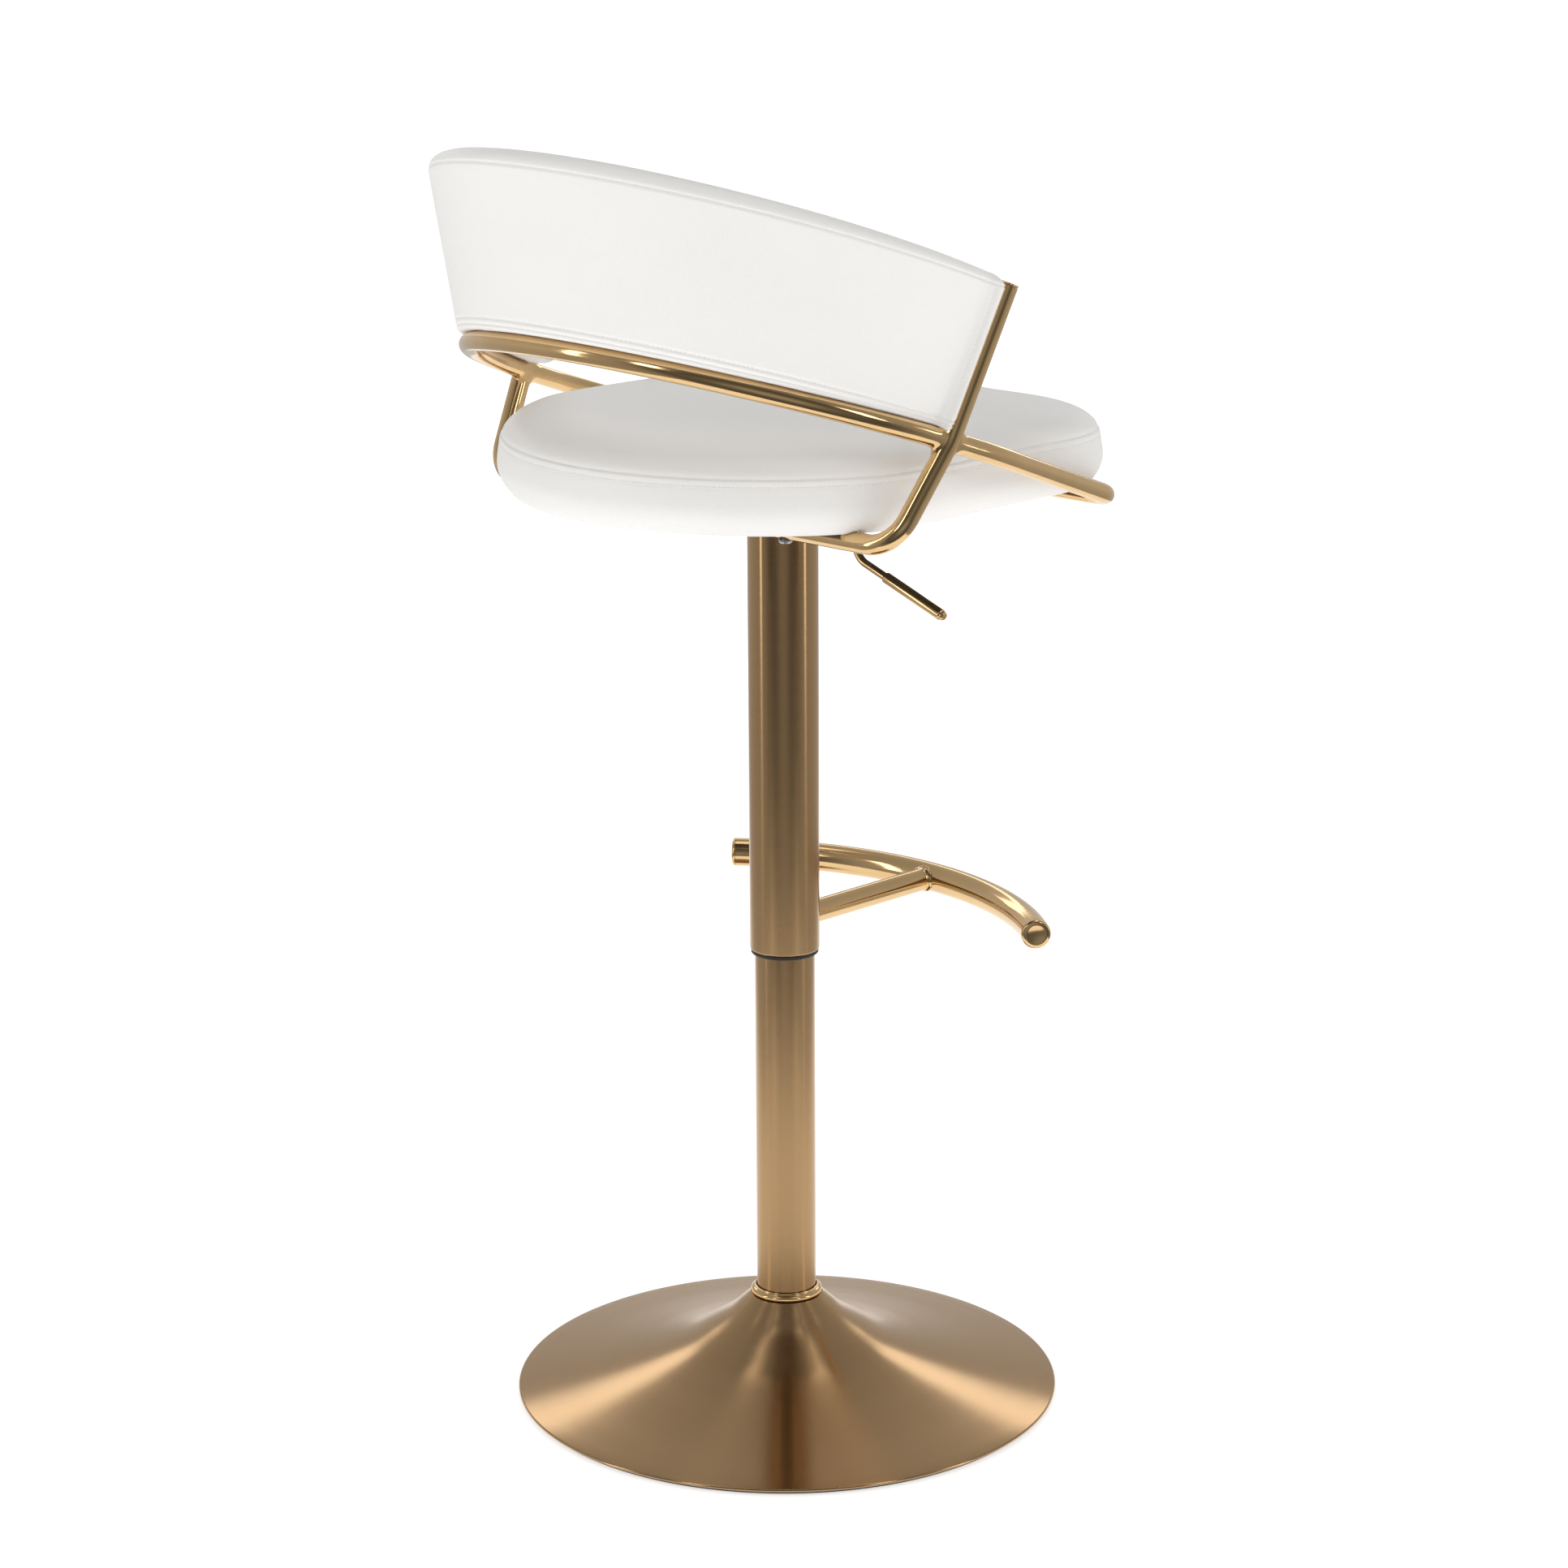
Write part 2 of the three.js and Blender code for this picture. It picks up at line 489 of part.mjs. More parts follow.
// ---- Seat ---------------------------------------------------------------------------------------
// Plan of the seat: round back, nearly straight sides, rounded front corners. Grows by `grow`.
function seatPlan(grow = 0) {
  const start = radians(22);
  const arc = SEAT_ARC + grow;
  const x = arc * Math.cos(start);
  const y = AXIS_Y + arc * Math.sin(start);
  const side = 199 + grow;
  const front = -205 - grow;
  const shape = new THREE.Shape().absarc(0, AXIS_Y, arc, start, Math.PI - start);
  shape.bezierCurveTo(-x - 9, y - 24, -side, -20, -side, -108);
  shape.bezierCurveTo(-side, -170, -side + 34, front + 4, -110, front + 2);
  shape.bezierCurveTo(-60, front, 60, front, 110, front + 2);
  shape.bezierCurveTo(side - 34, front + 4, side, -170, side, -108);
  shape.bezierCurveTo(side, -20, x + 9, y - 24, x, y);
  return shape;
}

function seat() {
  const edge = 11;
  const blank = new THREE.ExtrudeGeometry(seatPlan(-6), {
    depth: SEAT_TOP - SEAT_BOTTOM - 2 * edge, curveSegments: 8,
    bevelEnabled: true, bevelThickness: edge, bevelSize: 10, bevelSegments: 2,
  }).translate(0, 0, SEAT_BOTTOM + edge);
  const recess = slab(seatPlan(FIT - BOARD_INSET), SEAT_BOTTOM - 1, boardTop + FIT);
  piece('seat_cushion', cut(blank, recess, tube(armRun, FRAME_TUBE + FIT), carrierRoom()), WHITE_LEATHER);

  const well = (radius) => ([x, y]) => bar(radius, SEAT_BOTTOM - 5, boardTop - 1.5, 8).translate(x, y, 0);
  const wells = [...plateBolts.map(well(4.4)), ...frameBolts.map(well(3.4))];
  piece('seat_board', cut(slab(seatPlan(-BOARD_INSET), BOARD_BOTTOM, boardTop), ...wells), PLYWOOD);
  piece('dust_cover', cut(slab(seatPlan(-BOARD_INSET), SEAT_BOTTOM, SEAT_BOTTOM + 0.8), ...wells), DARK_FELT);
}

// ---- Backrest -----------------------------------------------------------------------------------
// A point of the back: s from -1 to 1 across, t from 0 to 1 up, depth inwards from the outer face.
function backPoint(s, t, depth) {
  const angle = radians(s * lerp(BACK_LOW_ANGLE, BACK_HIGH_ANGLE, t));
  const low = BACK_CLEAR + hoopHeight(AXIS_Y + BACK_RADIUS * Math.cos(angle));
  const high = BACK_TOP_LEVEL + BACK_TOP_SLOPE * (AXIS_Y + 266 * Math.cos(angle));
  const z = lerp(low, high, t);
  const radius = BACK_RADIUS + BACK_FLARE * (z - BACK_DATUM) - depth;
  return vector(radius * Math.sin(angle), AXIS_Y + radius * Math.cos(angle), z);
}

// A curved slab of the back between two depths and within limits of s and t.
function backLayer(outer, inner, { from = -1, to = 1, low = 0, high = 1, across = 24, up = 2 } = {}) {
  const box = new THREE.BoxGeometry(1, 1, 1, across, 1, up);
  const position = box.attributes.position;
  for (let i = 0; i < position.count; i += 1) {
    const s = lerp(from, to, position.getX(i) + 0.5);
    const t = lerp(low, high, position.getZ(i) + 0.5);
    const depth = lerp(inner, outer, position.getY(i) + 0.5);
    position.setXYZ(i, ...backPoint(s, t, depth).toArray());
  }
  return box;
}

const BOARD_DEPTH = { outer: 9.6, inner: 13.6 };
const STRAP_DEPTH = { outer: 15, inner: 16.8 };
const FACET = 1.4;                    // room for the flats of neighbouring curved layers

function backrest() {
  const posts = carrierRoom();
  piece('backrest_rear_pad', cut(backLayer(0, BOARD_DEPTH.outer - FACET), posts), WHITE_LEATHER);
  piece('backrest_front_pad', cut(backLayer(STRAP_DEPTH.inner + FACET, 30), posts), WHITE_LEATHER);

  const screws = [];
  const drills = [];
  for (const [side, sign] of [['right', 1], ['left', -1]]) {
    for (const [level, t] of [['lower', 0.4], ['upper', 0.62]]) {
      const place = backPoint(sign * 0.87, t, STRAP_DEPTH.inner);
      const outward = vector(place.x, place.y - AXIS_Y, 0).normalize();
      const turn = new THREE.Quaternion().setFromUnitVectors(vector(0, 0, 1), outward);
      screws.push([`backrest_screw_${level}_${side}`, place, turn]);
      drills.push(bar(2.3, -3, 7, 8).applyQuaternion(turn).translate(place.x, place.y, place.z));
    }
  }
  const board = backLayer(BOARD_DEPTH.outer, BOARD_DEPTH.inner, { from: -0.955, to: 0.955, low: 0.06, high: 0.94 });
  piece('backrest_board', cut(board, ...drills), PLYWOOD);
  for (const [side, from, to] of [['right', 0.8, 1], ['left', -1, -0.8]]) {
    const extent = { from, to, low: 0.3, high: 0.72, across: 6, up: 1 };
    const strap = backLayer(STRAP_DEPTH.outer, STRAP_DEPTH.inner, extent);
    piece(`backrest_strap_${side}`, cut(strap, posts, ...drills), STEEL);
  }
  const screw = turned([[0, 0.1], [2, 0.1], [2, 6], [0, 6]], 8);
  for (const [name, place, turn] of screws) {
    const mesh = piece(name, screw, STEEL);
    mesh.position.copy(place);
    mesh.quaternion.copy(turn);
  }
}

pedestal();
gasLift();
mechanism();
lever();
footrest();
frame();
seat();
backrest();

export default stool;
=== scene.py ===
"""Bar stool on a round pedestal: gas-lift column, curved footrest, tube frame and padded seat and back.

Lengths in the shape code are in millimetres, +Z is up and a sitter faces -Y.
"""
import json
import math

import bpy
from bpy.props import FloatProperty, FloatVectorProperty, PointerProperty
from mathutils import Matrix, Vector, kdtree, noise


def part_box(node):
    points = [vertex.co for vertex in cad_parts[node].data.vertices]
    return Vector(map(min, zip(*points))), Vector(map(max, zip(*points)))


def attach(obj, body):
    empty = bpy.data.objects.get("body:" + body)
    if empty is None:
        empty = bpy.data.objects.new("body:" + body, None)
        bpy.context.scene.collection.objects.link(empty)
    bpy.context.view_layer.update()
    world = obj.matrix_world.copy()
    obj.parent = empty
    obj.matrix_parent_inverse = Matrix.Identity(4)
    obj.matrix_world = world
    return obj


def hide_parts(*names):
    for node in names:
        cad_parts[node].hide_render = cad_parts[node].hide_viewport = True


bl_info = {
    "name": "Bar Stool Builder",
    "version": (1, 0, 0),
    "blender": (4, 5, 0),
    "location": "3D View > Sidebar > Stool",
    "description": "Builds the visible pieces of a height-adjustable bar stool around its CAD frame",
    "category": "Object",
}

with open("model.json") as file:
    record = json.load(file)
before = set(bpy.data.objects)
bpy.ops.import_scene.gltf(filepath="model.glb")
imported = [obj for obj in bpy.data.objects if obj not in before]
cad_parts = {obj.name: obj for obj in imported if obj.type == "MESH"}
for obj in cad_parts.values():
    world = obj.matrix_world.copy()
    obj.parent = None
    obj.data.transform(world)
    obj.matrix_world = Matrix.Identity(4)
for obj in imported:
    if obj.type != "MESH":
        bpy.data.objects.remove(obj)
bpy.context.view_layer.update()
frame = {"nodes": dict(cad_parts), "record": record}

MM = 0.001

# ---- Sizes that the pieces share with the CAD -----------------------------------------------------
FLARE = [(212, 7.6), (200, 10), (170, 16.2), (140, 23.5), (112, 31.5), (87, 41), (66, 53), (50, 63.5),
         (39, 73.5), (32, 80), (30, 82)]
BASE_TOP = 82
COLUMN_RADIUS = 24.45
SLEEVE_RADIUS = 28.4
FOOT_LEVEL = 405
FOOT_ARC = 272
FOOT_FRONT = -175
FOOT_HALF_SPAN = 172
FOOT_TUBE = 12
BRACKET_TUBE = 9.5
FRAME_TUBE = 7.8
AXIS_Y = 10
HOOP_SIDE, HOOP_REAR = 240, 235
HOOP_LEVEL, HOOP_SLOPE = 816, 0.351
RUN_LEVEL = 761
JOINT = Vector((236.5, 62, 837.5))
POST_TOP = Vector((254, 19, 950))
POST_FOOT = Vector((221, 107, RUN_LEVEL))
ARM_KNEE_Y = 10
ARM_FRONT_X = 212
SEAT_ARC = 214
BOARD_INSET = 14
BACK_RADIUS, BACK_DATUM, BACK_FLARE = 246, 892, 0.15
BACK_LOW_ANGLE, BACK_HIGH_ANGLE = 78.2, 88
BACK_TOP_LEVEL, BACK_TOP_SLOPE = 949, 0.365
BACK_CLEAR = 9
CLEARANCE = 0.5
WRAP = 2.2                 # how far the leather reaches below the seat's underside
PLAN_EASE = 0.4            # how far the leather stands out of the seat's plan
SEAT_REACH = 205           # from the seat's rim to its middle


# ---- Settings -------------------------------------------------------------------------------------
def length_setting(label, about, millimetres):
    return FloatProperty(name=label, description=about, default=millimetres * MM, min=0,
                         unit="LENGTH", precision=4)


def colour_setting(label, about, colour):
    return FloatVectorProperty(name=label, description=about, default=colour, min=0, max=1,
                               size=3, subtype="COLOR")


class StoolSizes(bpy.types.PropertyGroup):
    weld: length_setting("Weld fillet", "Radius of the polished fillets between the frame tubes", 7)
    seat_crown: length_setting("Seat crown", "Rise of the seat's top above its seam", 21.5)
    seat_bulge: length_setting("Seat bulge", "How far the seat's side band swells out", 3)
    back_crown: length_setting("Back crown", "How far the front of the back swells out", 5)
    seam_depth: length_setting("Seam depth", "Depth of the crease along a seam", 1.3)
    stitch_pitch: length_setting("Stitch pitch", "Distance from one stitch to the next", 3.6)
    stitch_length: length_setting("Stitch length", "Visible length of one stitch", 2.7)
    stitch_width: length_setting("Stitch width", "Thickness of the sewing thread", 0.8)
    wrinkle: length_setting("Wrinkle", "Height of the leather's slow undulation", 0.5)


class StoolColours(bpy.types.PropertyGroup):
    polished_gold: colour_setting("Polished gold", "Colour of the frame and footrest tubes",
                                  (0.76, 0.52, 0.26))
    brushed_gold: colour_setting("Brushed gold", "Colour of the base, column and sleeve", (0.47, 0.30, 0.15))
    white_leather: colour_setting("Leather", "Colour of the seat and back covers", (0.86, 0.845, 0.82))
    steel: colour_setting("Steel", "Colour of bare steel pieces", (0.52, 0.52, 0.53))
    black_iron: colour_setting("Black iron", "Colour of the painted mechanism", (0.035, 0.035, 0.037))
    black_plastic: colour_setting("Black plastic", "Colour of bushings and pads", (0.018, 0.018, 0.019))
    plywood: colour_setting("Plywood", "Colour of the boards in the seat and back", (0.52, 0.34, 0.17))
    dark_felt: colour_setting("Dust cover", "Colour of the cloth under the seat", (0.016, 0.016, 0.018))


# ---- Shader expressions ---------------------------------------------------------------------------
def _operator(operation, reflected=False):
    def apply(field, other):
        pair = (other, field) if reflected else (field, other)
        return field.joined(operation, *pair)
    return apply


class Field:
    """One output socket of a finish; arithmetic on it adds the nodes that work it out."""

    def __init__(self, finish, socket):
        self.finish = finish
        self.socket = socket

    def joined(self, operation, first, second):
        if self.socket.type in ("VECTOR", "RGBA"):
            return self.finish.node("ShaderNodeVectorMath", {"operation": operation},
                                    {0: first, 1: second})
        return self.finish.node("ShaderNodeMath", {"operation": operation}, {0: first, 1: second})

    __add__ = _operator("ADD")
    __radd__ = _operator("ADD", reflected=True)
    __sub__ = _operator("SUBTRACT")
    __rsub__ = _operator("SUBTRACT", reflected=True)
    __mul__ = _operator("MULTIPLY")
    __rmul__ = _operator("MULTIPLY", reflected=True)
    __truediv__ = _operator("DIVIDE")
    __pow__ = _operator("POWER")

    def part(self, axis):
        return self.finish.node("ShaderNodeSeparateXYZ", {}, {0: self}, output=axis)


class NodeSheet:
    """A node tree and the shader or background that its values feed."""

    def __init__(self, tree, shader):
        self.tree = tree
        self.shader = tree.nodes[shader]

    def node(self, kind, settings=None, values=None, output=0):
        made = self.tree.nodes.new(kind)
        for setting, value in (settings or {}).items():
            if setting == "stops":
                self._set_stops(made.color_ramp, value)
            else:
                setattr(made, setting, value)
        for socket, value in (values or {}).items():
            if isinstance(value, Field):
                self.tree.links.new(value.socket, made.inputs[socket])
            else:
                target = made.inputs[socket]
                several = hasattr(target.default_value, "__len__")
                target.default_value = [value] * len(target.default_value) \
                    if several and not hasattr(value, "__len__") else value
        return Field(self, made.outputs[output])

    @staticmethod
    def _set_stops(ramp, stops):
        for index, (place, colour) in enumerate(stops):
            element = ramp.elements[index] if index < 2 else ramp.elements.new(place)
            element.position = place
            element.color = (*colour, 1)

    def place(self):
        return self.node("ShaderNodeTexCoord", output="Object")

    def cloud(self, vector, scale, detail=3.0, roughness=0.5):
        return self.node("ShaderNodeTexNoise", {"noise_dimensions": "3D"},
                         {"Vector": vector, "Scale": scale, "Detail": detail, "Roughness": roughness})

    def cells(self, vector, scale, feature="F1"):
        return self.node("ShaderNodeTexVoronoi", {"feature": feature},
                         {"Vector": vector, "Scale": scale}, output="Distance")

    def band(self, value, low, high, start=0.0, end=1.0):
        return self.node("ShaderNodeMapRange", {"clamp": True},
                         {"Value": value, "From Min": low, "From Max": high, "To Min": start, "To Max": end})

    def tint(self, factor, first, second):
        """Goes from one colour to another with a factor."""
        return self.node("ShaderNodeMix", {"data_type": "RGBA"},
                         {"Factor": factor, 6: (*first, 1), 7: (*second, 1)}, output=2)

    def stretched(self, vector, factors):
        return self.node("ShaderNodeVectorMath", {"operation": "MULTIPLY"}, {0: vector, 1: factors})

    def feed(self, socket, field):
        self.tree.links.new(field.socket, self.shader.inputs[socket])


class Finish(NodeSheet):
    """A procedural material for one slot."""

    def __init__(self, name, colour, **constants):
        self.material = bpy.data.materials.new(name)
        self.material.use_nodes = True
        self.material.diffuse_color = (*colour, 1)
        super().__init__(self.material.node_tree, "Principled BSDF")
        self.colour = colour
        self.shader.inputs["Base Color"].default_value = (*colour, 1)
        for socket, value in constants.items():
            self.shader.inputs[socket.replace("_", " ")].default_value = value

    def tone(self, factor, darkest, lightest):
        """Shades the slot's own colour between two factors."""
        self.feed("Base Color", self.tint(factor, shade(self.colour, darkest), shade(self.colour, lightest)))

    def relief(self, height, distance, strength=1.0):
        bump = self.node("ShaderNodeBump", {}, {"Height": height, "Distance": distance, "Strength": strength})
        self.feed("Normal", bump)


def shade(colour, factor):
    return tuple(min(1.0, channel * factor) for channel in colour)


def polished_gold(colour):
    finish = Finish("polished_gold", colour, Metallic=1.0)
    place = finish.place()
    film = finish.cloud(place, 38, 4)
    scratch = finish.cloud(place, 900, 2)
    finish.tone(finish.band(film, 0.3, 0.7), 0.96, 1.03)
    finish.feed("Roughness", finish.band(film, 0.3, 0.7, 0.09, 0.14)
                + finish.band(scratch, 0.6, 0.8, 0, 0.03))
    finish.relief(finish.cloud(place, 160, 2), 0.00006, 0.5)
    return finish.material


def brushed_gold(colour):
    """Fine turning marks run round the column and the base."""
    finish = Finish("brushed_gold", colour, Metallic=1.0, Anisotropic=0.9, Anisotropic_Rotation=0.25)
    place = finish.place()
    x, y, z = (place.part(axis) for axis in "XYZ")
    radius = (x * x + y * y) ** 0.5
    angle = finish.node("ShaderNodeMath", {"operation": "ARCTAN2"}, {0: y, 1: x})
    marks = finish.node("ShaderNodeCombineXYZ", {}, {"X": radius * 2600, "Y": angle * 1.6, "Z": z * 2600})
    coarse = finish.node("ShaderNodeCombineXYZ", {}, {"X": radius * 420, "Y": angle * 1.1, "Z": z * 420})
    fine = finish.cloud(marks, 1, 3, 0.65)
    broad = finish.cloud(coarse, 1, 2)
    patches = finish.cloud(place, 7, 3)
    mixed = fine * 0.65 + broad * 0.15 + patches * 0.2
    finish.tone(finish.band(mixed, 0.3, 0.7), 0.95, 1.05)
    finish.feed("Roughness", finish.band(mixed, 0.3, 0.7, 0.19, 0.24))
    finish.relief(fine + broad * 0.2, 0.00003, 0.35)
    return finish.material


def white_leather(colour):
    """Split pebbles, fine creases between them and faint clouding."""
    finish = Finish("white_leather", colour, Specular_IOR_Level=0.42, Sheen_Weight=0.05)
    place = finish.place()
    warp = place + finish.node("ShaderNodeTexNoise", {}, {"Vector": place, "Scale": 260, "Detail": 2},
                               output="Color") * 0.0012
    pebbles = finish.cells(warp, 620, "DISTANCE_TO_EDGE")
    pores = finish.cloud(place, 1500, 3)
    clouding = finish.cloud(place, 9, 3)
    grain = finish.band(pebbles, 0.0, 0.22)
    finish.tone(clouding * 0.5 + grain * 0.5, 0.965, 1.01)
    finish.feed("Roughness", finish.band(grain * 0.7 + pores * 0.3, 0.2, 0.9, 0.5, 0.36))
    finish.relief(grain * 0.8 + pores * 0.25, 0.00012, 0.45)
    return finish.material


def steel(colour):
    finish = Finish("steel", colour, Metallic=1.0)
    place = finish.place()
    grind = finish.cloud(finish.stretched(place, (1, 1, 14)), 180, 3)
    finish.tone(grind, 0.85, 1.1)
    finish.feed("Roughness", finish.band(grind, 0.3, 0.7, 0.28, 0.42))
    finish.relief(grind, 0.00008, 0.4)
    return finish.material


def black_iron(colour):
    """Powder coat with its slight orange peel."""
    finish = Finish("black_iron", colour)
    place = finish.place()
    peel = finish.cloud(place, 700, 2)
    finish.tone(finish.cloud(place, 30, 3), 0.8, 1.3)
    finish.feed("Roughness", finish.band(peel, 0.3, 0.7, 0.4, 0.55))
    finish.relief(peel, 0.0002, 0.5)
    return finish.material


def black_plastic(colour):
    finish = Finish("black_plastic", colour)
    place = finish.place()
    spark = finish.cloud(place, 1800, 2)
    finish.tone(finish.cloud(place, 45, 2), 0.8, 1.4)
    finish.feed("Roughness", finish.band(spark, 0.3, 0.7, 0.42, 0.58))
    finish.relief(spark, 0.0001, 0.4)
    return finish.material


def plywood(colour):
    finish = Finish("plywood", colour)
    place = finish.place()
    grain = finish.cloud(finish.stretched(place, (1, 9, 9)), 22, 5, 0.6)
    plies = finish.node("ShaderNodeMath", {"operation": "SINE"}, {0: place.part("Z") * 4200})
    finish.tone(finish.band(grain, 0.3, 0.7) * 0.8 + plies * 0.1, 0.72, 1.15)
    finish.feed("Roughness", finish.band(grain, 0.3, 0.7, 0.6, 0.8))
    finish.relief(grain, 0.0003, 0.5)
    return finish.material


def dark_felt(colour):
    """Spun-bonded cloth: short crossing fibres."""
    finish = Finish("dark_felt", colour, Sheen_Weight=0.3)
    place = finish.place()
    fibres = finish.cloud(finish.stretched(place, (9, 1, 1)), 260, 4, 0.7) \
        + finish.cloud(finish.stretched(place, (1, 9, 1)), 260, 4, 0.7)
    finish.tone(finish.band(fibres, 0.7, 1.3), 0.6, 1.8)
    finish.feed("Roughness", finish.band(fibres, 0.7, 1.3, 0.8, 0.95))
    finish.relief(fibres, 0.0003, 0.6)
    return finish.material


FINISHES = {
    "polished_gold": polished_gold, "brushed_gold": brushed_gold, "white_leather": white_leather,
    "steel": steel, "black_iron": black_iron, "black_plastic": black_plastic, "plywood": plywood,
    "dark_felt": dark_felt,
}


def finish_for(slot):
    """The slot's material, made the first time it is asked for."""
    found = bpy.data.materials.get("stool_" + slot)
    if found is None:
        found = FINISHES[slot](tuple(getattr(bpy.context.scene.stool_colours, slot)))
        found.name = "stool_" + slot
    return found


def size(name):
    return getattr(bpy.context.scene.stool_sizes, name) / MM


# ---- Meshes ---------------------------------------------------------------------------------------
SHARP = math.radians(38)


def piece(name, shape, slot, body, stands_for=()):
    """Makes a piece from points and faces, gives it its finish and lets it ride on its body."""
    points, faces = shape
    mesh = bpy.data.meshes.new(name)
    mesh.from_pydata([Vector(p) * MM for p in points], [], faces)
    mesh.validate()
    mesh.polygons.foreach_set("use_smooth", [True] * len(mesh.polygons))
    mesh.set_sharp_from_angle(angle=SHARP)
    made = bpy.data.objects.new(name, mesh)
    bpy.context.scene.collection.objects.link(made)
    mesh.materials.append(finish_for(slot))
    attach(made, body)
    if stands_for:
        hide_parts(*stands_for)
    return made


def joined(*shapes):
    points, faces = [], []
    for more_points, more_faces in shapes:
        start = len(points)
        points += more_points
        faces += [[start + i for i in face] for face in more_faces]
    return points, faces


def placed(shape, origin, direction):
    """Turns a shape made along +Z to point along a direction, from an origin."""
    turn = Vector((0, 0, 1)).rotation_difference(Vector(direction)).to_matrix()
    points, faces = shape
    return [turn @ Vector(p) + Vector(origin) for p in points], faces


def grid_faces(rows, columns, closed_rows=False, closed_columns=False):
    faces = []
    for i in range(rows if closed_rows else rows - 1):
        for j in range(columns if closed_columns else columns - 1):
            after, beside = (i + 1) % rows, (j + 1) % columns
            faces.append([i * columns + j, i * columns + beside,
                          after * columns + beside, after * columns + j])
    return faces


def softened(corners, radius, steps=4, closed=False):
    """Rounds the corners of a flat outline of pairs."""
    points = []
    count = len(corners)
    for i, corner in enumerate(corners):
        here = Vector(corner)
        if not closed and i in (0, count - 1):
            points.append(here)
            continue
        before = Vector(corners[i - 1]) - here
        after = Vector(corners[(i + 1) % count]) - here
        setback = min(radius, 0.45 * before.length, 0.45 * after.length)
        start, end = here + before.normalized() * setback, here + after.normalized() * setback
        for k in range(steps + 1):
            t = k / steps
            points.append(start * (1 - t) ** 2 + here * 2 * t * (1 - t) + end * t ** 2)
    return points


def curved(points, steps):
    """A smooth line through the points of an outline."""
    line = []
    for i in range(len(points) - 1):
        ends = [Vector(points[max(0, min(len(points) - 1, i + k))]) for k in (-1, 0, 1, 2)]
        for k in range(steps):
            t = k / steps
            a, b, c, d = ends
            line.append(0.5 * (2 * b + (c - a) * t + (2 * a - 5 * b + 4 * c - d) * t ** 2
                               + (3 * b - a - 3 * c + d) * t ** 3))
    line.append(Vector(points[-1]))
    return line


def turned(profile, sides=192):
    """A piece turned about Z. The profile closes on itself, or starts and ends on the axis."""
    on_axis = abs(profile[0][0]) < 1e-6 and abs(profile[-1][0]) < 1e-6
    rings = profile[1:-1] if on_axis else profile
    points = []
    for radius, height in rings:
        points += [(radius * math.cos(2 * math.pi * j / sides),
                    radius * math.sin(2 * math.pi * j / sides), height)
                   for j in range(sides)]
    faces = grid_faces(len(rings), sides, closed_rows=not on_axis, closed_columns=True)
    if on_axis:
        for row, (_, height), order in ((0, profile[0], -1), (len(rings) - 1, profile[-1], 1)):
            points.append((0, 0, height))
            tip = len(points) - 1
            faces += [[tip, row * sides + j, row * sides + (j + 1) % sides][::order] for j in range(sides)]
    return points, faces


def swept(path, radius, sides=40, closed=False, ripple=None):
    """A tube along a path, its ends closed. ripple gives a radius for each point and angle."""
    path = [Vector(p) for p in path]
    count = len(path)
    tangents = []
    for i in range(count):
        before = path[i - 1] if closed or i else path[0]
        after = path[(i + 1) % count] if closed or i < count - 1 else path[-1]
        tangents.append((after - before).normalized())
    side = tangents[0].cross(Vector((0, 0, 1)))
    side = side.normalized() if side.length > 1e-3 else Vector((1, 0, 0))
    points = []
    for i, tangent in enumerate(tangents):
        side = (side - tangent * side.dot(tangent)).normalized()
        up = tangent.cross(side)
        for j in range(sides):
            angle = 2 * math.pi * j / sides
            reach = radius if ripple is None else ripple(i, angle)
            points.append(path[i] + (side * math.cos(angle) + up * math.sin(angle)) * reach)
    faces = grid_faces(count, sides, closed_rows=closed, closed_columns=True)
    if not closed:
        faces += [list(range(sides))[::-1], [(count - 1) * sides + j for j in range(sides)]]
    return points, faces


def straight(start, end, step):
    count = max(1, round((end - start).length / step))
    return [start.lerp(end, k / count) for k in range(count)]


def bent(corners, radii, step=3.0, bend_steps=18):
    """Straight stretches with a round bend at each inner corner."""
    corners = [Vector(c) for c in corners]
    path, here = [], corners[0]
    for i, radius in enumerate(radii):
        corner = corners[i + 1]
        along = (corner - corners[i]).normalized()
        leaving = (corners[i + 2] - corner).normalized()
        turn = along.angle(leaving)
        start = corner - along * radius * math.tan(turn / 2)
        inward = (leaving - along * along.dot(leaving)).normalized()
        centre = start + inward * radius
        path += straight(here, start, step)
        for k in range(bend_steps):
            angle = turn * k / bend_steps
            path.append(centre - inward * radius * math.cos(angle) + along * radius * math.sin(angle))
        here = corner + leaving * radius * math.tan(turn / 2)
    return path + straight(here, corners[-1], step) + [corners[-1]]


def push_clear(points, path, radius):
    """Moves points out of the space that a tube needs."""
    tree = kdtree.KDTree(len(path))
    for i, place in enumerate(path):
        tree.insert(place, i)
    tree.balance()
    moved = []
    for point in map(Vector, points):
        _, i, gap = tree.find(point)
        if gap < radius + 4:
            a, b = path[max(0, i - 1)], path[min(len(path) - 1, i + 1)]
            along = (b - a).normalized()
            off = point - path[i]
            off -= along * off.dot(along)
            if off.length < radius:
                point = point + off.normalized() * (radius - off.length)
        moved.append(point)
    return moved


def wander(point, spacing, seed=0.0):
    return noise.noise(Vector((point[0] / spacing + seed, point[1] / spacing - seed, point[2] / spacing)))


